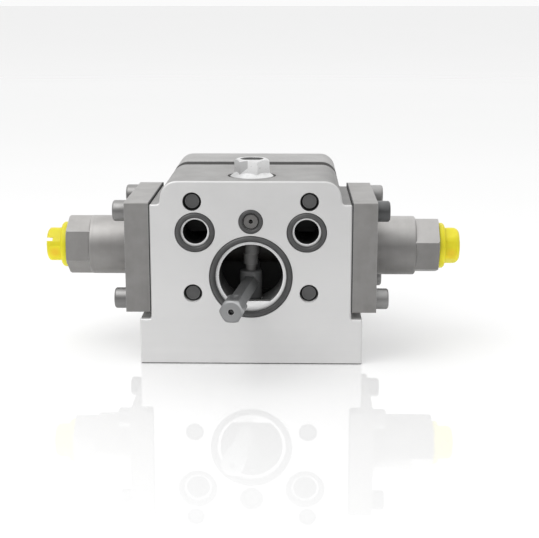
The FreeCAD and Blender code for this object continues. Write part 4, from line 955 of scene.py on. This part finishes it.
SEAL_RINGS = {
    "bore_seal_ring": (0.0, BORE_HEIGHT, 3.0),
    "left_port_seal_ring": (-PORT_ACROSS, PORT_UP, 2.7),
    "right_port_seal_ring": (PORT_ACROSS, PORT_UP, 2.7),
    "drain_seal_ring": (0.0, DRAIN_UP, 1.9),
}
for node_name, (ring_x, ring_z, section) in SEAL_RINGS.items():
    low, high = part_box(node_name)
    middle = (high.z - low.z) / 2.0 / MM - section / 2.0
    ring_y = (low.y + high.y) / 2.0
    ring = seal_ring(node_name + "_round", middle, section)
    set_in_place(ring, (ring_x, ring_y, ring_z), (0.0, -1.0, 0.0))
    finish_piece(ring, "seal_rubber", "housing", node_name)

# %% [markdown]
# ## Socket head screws
# Four screws hold each side plate, and four long ones clamp the valve to the pump. Their heads are turned
# with a rounded edge and broached with a hexagon socket. One function turns any of them, so only the sizes
# differ.

# %% Screw helper
def socket_screw(name, radius, length, head_radius, head_height, socket, socket_depth, edge, pitch,
                 thread_length):
    """A socket head screw along X: its seat at 0, its head outwards, its tip at minus its length."""
    core = 0.6 * pitch
    outline = [(-length, 0.0), (-length, radius - core)]
    outline += thread(-length + core, -length + core + thread_length, radius, pitch, 0.55 * pitch)
    outline += [(outline[-1][0] + core, radius), (0.0, radius)]
    outline += [(0.0, head_radius - 0.25), (0.25, head_radius)]
    outline += arc(head_height - edge, head_radius - edge, edge, 88.0, 2.0)
    outline += offset(head_height, (0.0, socket / 2.0 + 0.95), (-0.25, socket / 2.0 + 0.45), (-0.25, 0.0))
    screw = turned(name, outline)
    tool = hexagon_bar(socket, head_height - socket_depth, head_height + 1.0)
    return milled_with(screw, tool, "DIFFERENCE")


print("screw helper ready")

# %% [markdown]
# The side screws are M6. Each is turned by its own angle, because no one lines up the sockets of real screws.

# %% Side plate screws
FLANGE_SEAT, FLANGE_DEPTH, FLANGE_RISE = 0.0595, 0.025, 0.0213

flange_screw = socket_screw(
    "flange_screw", radius=3.0, length=20.0, head_radius=5.0, head_height=6.2, socket=5.0, socket_depth=3.0,
    edge=1.3, pitch=1.0, thread_length=12.0,
)
for side, side_name, bright_steel in ((-1.0, "left", "screw_steel"), (1.0, "right", "right_screw_steel_painted_light")):
    screws = []
    for row, column in CORNERS:
        place = (side * FLANGE_SEAT, column * FLANGE_DEPTH, SPOOL_HEIGHT + row * FLANGE_RISE)
        screw = placed_copy(flange_screw, place, (side, 0.0, 0.0), turn=17.0 * len(screws) + 5.0 * side)
        is_black = side > 0 and row > 0 and column < 0
        screw.data.materials.append(finishes["black_screw_steel" if is_black else bright_steel])
        screws.append(screw)
    piece = joined(screws, f"{side_name}_flange_screws_round")
    finish_piece(piece, "screw_steel", "housing", f"{side_name}_flange_screws")
bpy.data.objects.remove(flange_screw)

# %% [markdown]
# The long screws come from the rear block, and their chamfered tips look out of the four holes in the face.

# %% Mounting screws
MOUNTING_SEAT_Y = 0.0634

mounting_screw = socket_screw(
    "mounting_screw", radius=4.0, length=95.0, head_radius=6.5, head_height=8.0, socket=6.0, socket_depth=4.0,
    edge=1.2, pitch=1.25, thread_length=24.0,
)
screws = []
for side, row in CORNERS:
    place = (side * SCREW_ACROSS, MOUNTING_SEAT_Y, PATTERN_UP + row * SCREW_RISE)
    screws.append(placed_copy(mounting_screw, place, (0.0, 1.0, 0.0), turn=23.0 * len(screws)))
piece = joined(screws, "mounting_screws_round")
finish_piece(piece, "dark_screw_steel", "housing", "mounting_screws")
bpy.data.objects.remove(mounting_screw)

# %% [markdown]
# ## Shipping plugs
# A plug is moulded in one shot: a hollow threaded stem, a round flange that covers the port, a hexagon to
# turn it by and a screwdriver slot. The round parts are turned. The hexagon keeps what lies inside a domed
# outline, because its end is crowned, and the slot is cut with a thin block.

# %% Shipping plugs
PLUG_SEAT = 91.2
PLUG_FLANGE_END = PLUG_SEAT + 3.4
PLUG_END = PLUG_FLANGE_END + 7.4
STEM_START = PLUG_SEAT - 9.5
PLUG_HEXAGON = 16.2
SLOT_SIZE, SLOT_UP = (6.8, 30.0, 1.7), 2.2


def plug_body():
    """The turned part of a plug: its hollow stem with a thread, and its flange."""
    outline = offset(PLUG_SEAT, (0.0, 0.0), (0.0, 4.3), (-0.2, 4.5))
    outline += offset(STEM_START, (0.3, 4.5), (0.0, 4.8), (0.0, 5.9), (0.6, 6.05))
    outline += thread(STEM_START + 0.8, PLUG_SEAT - 1.2, radius=6.65, pitch=1.5, depth=0.7)
    outline += offset(PLUG_SEAT, (0.0, 5.95), (0.0, 10.6), (0.5, 11.15))
    outline += arc(PLUG_FLANGE_END - 1.7, 9.5, radius=1.7, start=78.0, end=5.0, steps=8)
    return outline + offset(PLUG_FLANGE_END, (0.0, 8.6), (0.0, 0.0))


def plug_head():
    """The plug's hexagon with its crowned end and its slot."""
    head = hexagon_bar(PLUG_HEXAGON, PLUG_FLANGE_END - 0.5, PLUG_END + 0.5, edge=0.25)
    crown = offset(PLUG_FLANGE_END, (-1.0, 0.0), (-1.0, 8.8))
    crown += arc(PLUG_END - 3.2, 5.6, radius=3.2, start=90.0, end=25.0, steps=8)
    crown += offset(PLUG_END, (0.0, 5.0), (0.0, 0.0))
    milled_with(head, turned("crown", crown, steps=64), "INTERSECT")
    bpy.ops.mesh.primitive_cube_add(
        size=1.0, location=(PLUG_END * MM, 0.0, SLOT_UP * MM), scale=[size * MM for size in SLOT_SIZE],
    )
    return milled_with(head, bpy.context.object, "DIFFERENCE")


for side, side_name, turn in ((-1.0, "left", 12.0), (1.0, "right", -90.0)):
    plug = turned(f"{side_name}_port_plug_round", plug_body(), steps=64)
    milled_with(plug, set_in_place(plug_head(), (0.0, 0.0, 0.0), (1.0, 0.0, 0.0), turn=turn), "UNION")
    set_in_place(plug, (0.0, 0.0, SPOOL_HEIGHT), (side, 0.0, 0.0))
    finish_piece(plug, "yellow_plastic", f"{side_name}_plug", f"{side_name}_port_plug")

# %% [markdown]
# ## Lock nut
# The nut on top locks the adjusting screw. It is a flange nut: a hexagon on a conical washer, with both ends
# of the thread countersunk. The hexagon keeps what lies inside a turned outline with a 30 degree chamfer, is
# joined to the turned flange, and the hole goes through both.

# %% Lock nut
NUT_HEXAGON, NUT_TURN = 15.0, -40.5

nut = turned("lock_nut_round", offset(
    NUT_BOTTOM, (0.0, 0.0), (0.0, 9.9), (0.3, 10.35), (0.8, 10.3), (1.1, 9.9), (2.8, 7.6), (3.1, 6.6),
    (3.1, 0.0),
), steps=72)
hexagon = hexagon_bar(NUT_HEXAGON, NUT_BOTTOM + 1.0, NUT_TOP + 0.5, edge=0.15)
top_outline = turned("top_outline", (
    offset(NUT_BOTTOM, (0.5, 0.0), (0.5, 8.75))
    + offset(NUT_TOP, (-0.95, 8.75), (-0.1, 7.3), (0.0, 7.1), (0.0, 0.0))
), steps=96)
milled_with(nut, milled_with(hexagon, top_outline, "INTERSECT"), "UNION")
hole = turned("hole", (
    offset(NUT_BOTTOM, (-1.0, 0.0), (-1.0, 5.6), (0.5, 5.05))
    + offset(NUT_TOP, (-0.6, 5.05), (0.2, 5.85), (1.0, 5.85), (1.0, 0.0))
), steps=64)
milled_with(nut, hole, "DIFFERENCE")
set_in_place(nut, (0.0, PIVOT_Y, 0.0), (0.0, 0.0, 1.0), turn=NUT_TURN)
finish_piece(nut, "zinc_steel", "housing", "lock_nut")

# %% [markdown]
# ## Lever arm
# The arm is hexagon bar, screwed into the hub, with a larger hexagon tip. A bar could be drawn to its true
# length, but then it would cut into the hub, so its inner end is hollowed by the hub's own round.

# %% Bar of the lever arm
HUB_RADIUS = 5.35
BAR_HEXAGON, TIP_HEXAGON = 7.6, 10.0
TIP_START, TIP_END = 48.0, 60.4

arm = turned("lever_arm_round", (
    [(3.2, 0.0), (3.2, 1.7), (3.5, 2.0), (46.8, 2.0), (46.8, 4.5), (47.0, 4.7)]
    + offset(TIP_START, (-0.2, 4.7), (0.1, 4.2), (0.3, 4.0), (0.3, 0.0))
))
bar = hexagon_bar(BAR_HEXAGON, 0.0, TIP_START + 0.2, edge=0.35)
bpy.ops.mesh.primitive_cylinder_add(vertices=96, radius=HUB_RADIUS * MM, depth=20.0 * MM)
milled_with(bar, bpy.context.object, "DIFFERENCE")
beyond = turned("beyond", [(0.0, 0.0), (0.0, 8.0)] + offset(TIP_START, (1.0, 8.0), (1.0, 0.0)))
milled_with(arm, milled_with(bar, beyond, "INTERSECT"), "UNION")
print("the arm's bar has", len(arm.data.polygons), "faces")

# %% [markdown]
# Years of use have rounded the tip, so it is a bevelled bar that keeps what lies inside an outline with a
# rounded end. Then a centre hole is drilled in it.

# %% Tip of the lever arm
PIVOT_X, ARM_HEIGHT = -0.0006, 0.036
LEVER_REST_ANGLE = math.radians(6.5)

tip = hexagon_bar(TIP_HEXAGON, TIP_START, TIP_END + 1.0, edge=0.5)
rounded_end = turned("rounded_end", (
    offset(TIP_START, (0.0, 0.0), (0.0, 4.2), (0.35, 4.95), (0.9, 5.5), (1.5, 5.8))
    + offset(TIP_END, (-2.6, 5.8), (-1.7, 5.6), (-1.0, 5.25), (-0.45, 4.8), (-0.1, 4.4), (0.0, 4.2))
    + [(TIP_END, 0.0)]
), steps=96)
milled_with(arm, milled_with(tip, rounded_end, "INTERSECT"), "UNION")
centre_hole = turned("centre_hole", offset(
    TIP_END, (-4.4, 0.0), (-4.0, 1.3), (-0.1, 1.35), (1.0, 1.35), (1.0, 0.0),
))
milled_with(arm, centre_hole, "DIFFERENCE")
arm_direction = (-math.sin(LEVER_REST_ANGLE), -math.cos(LEVER_REST_ANGLE), 0.0)
set_in_place(arm, (PIVOT_X, PIVOT_Y, ARM_HEIGHT), arm_direction)
finish_piece(arm, "dark_steel", "lever", "lever_arm")

# %% [markdown]
# ## Floor and light
# The valve stands on a pale glossy studio floor that fades into white, with its shadow and a soft reflection.
# A very wide floor was chosen over a curved backdrop, because its edge is lost in the sky.

# %% Floor
FLOOR_SIZE, FLOOR_CLOUD_SCALE = 60.0, 3.0

bpy.ops.mesh.primitive_plane_add(size=FLOOR_SIZE, location=(0.0, 0.0, 0.0))
floor = bpy.context.object
floor.name = "studio_floor"
floor_paint, shader, place = start_finish("pale floor", IOR=1.85)
cloud = noise(place, FLOOR_CLOUD_SCALE, detail=1.0, roughness=0.5)
set_inputs(
    shader,
    Base_Color=mix(cloud, grey(0.85), grey(0.87)),
    Roughness=ramp(cloud, 0.3, 0.7, to_low=0.004, to_high=0.010),
)
floor.data.materials.append(floor_paint)
print("floor", FLOOR_SIZE, "m wide")

# %% [markdown]
# The world is brighter above and behind the valve than in front, as under a large soft box, which makes the
# tops paler than the faces. The camera itself sees one even near-white, as in the photograph.

# %% World
SKY_LOW, SKY_HIGH, SKY_BEHIND = 0.36, 1.08, 0.42
SKY_LIMIT, BACKDROP = 1.25, 0.965

world = bpy.data.worlds.new("studio air")
world.use_nodes = True
bpy.context.scene.world = world
tree = world.node_tree
tree.nodes.clear()
direction = split(tree.nodes.new("ShaderNodeTexCoord").outputs["Generated"])
overhead = ramp(direction["Z"], -0.1, 0.75, SKY_LOW, SKY_HIGH)
behind = ramp(direction["Y"], -0.3, 0.8, to_high=SKY_BEHIND)
sky = math_node("MINIMUM", math_node("ADD", overhead, behind), SKY_LIMIT)
seen = tree.nodes.new("ShaderNodeLightPath").outputs["Is Camera Ray"]
strength = add_node(tree, "ShaderNodeMix", {0: seen, 2: sky, 3: BACKDROP}, data_type="FLOAT").outputs[0]
air = add_node(tree, "ShaderNodeBackground", {"Color": (1.0, 1.0, 1.0, 1.0), "Strength": strength})
add_node(tree, "ShaderNodeOutputWorld", {"Surface": air.outputs[0]})
bpy.context.scene.view_settings.view_transform = "Standard"
print("the sky goes from", SKY_LOW, "to", SKY_LIMIT)

# %% [markdown]
# An even sky alone leaves the valve without a direction of light. One broad lamp above its left front corner
# adds soft shadows to the right, and is wide enough to keep their edges blurred.

# %% Soft light from above
LAMP_PLACE = Vector((-0.26, -0.22, 0.50))
LAMP_AIM = Vector((0.0, 0.0, 0.05))

lamp_data = bpy.data.lights.new("soft light above", "AREA")
lamp_data.shape = "DISK"
lamp_data.size = 0.50
lamp_data.energy = 1.25
lamp = bpy.data.objects.new("soft light above", lamp_data)
lamp.location = LAMP_PLACE
lamp.rotation_euler = (LAMP_AIM - LAMP_PLACE).to_track_quat("-Z", "Y").to_euler()
bpy.context.scene.collection.objects.link(lamp)
print("lamp strength", lamp_data.energy)
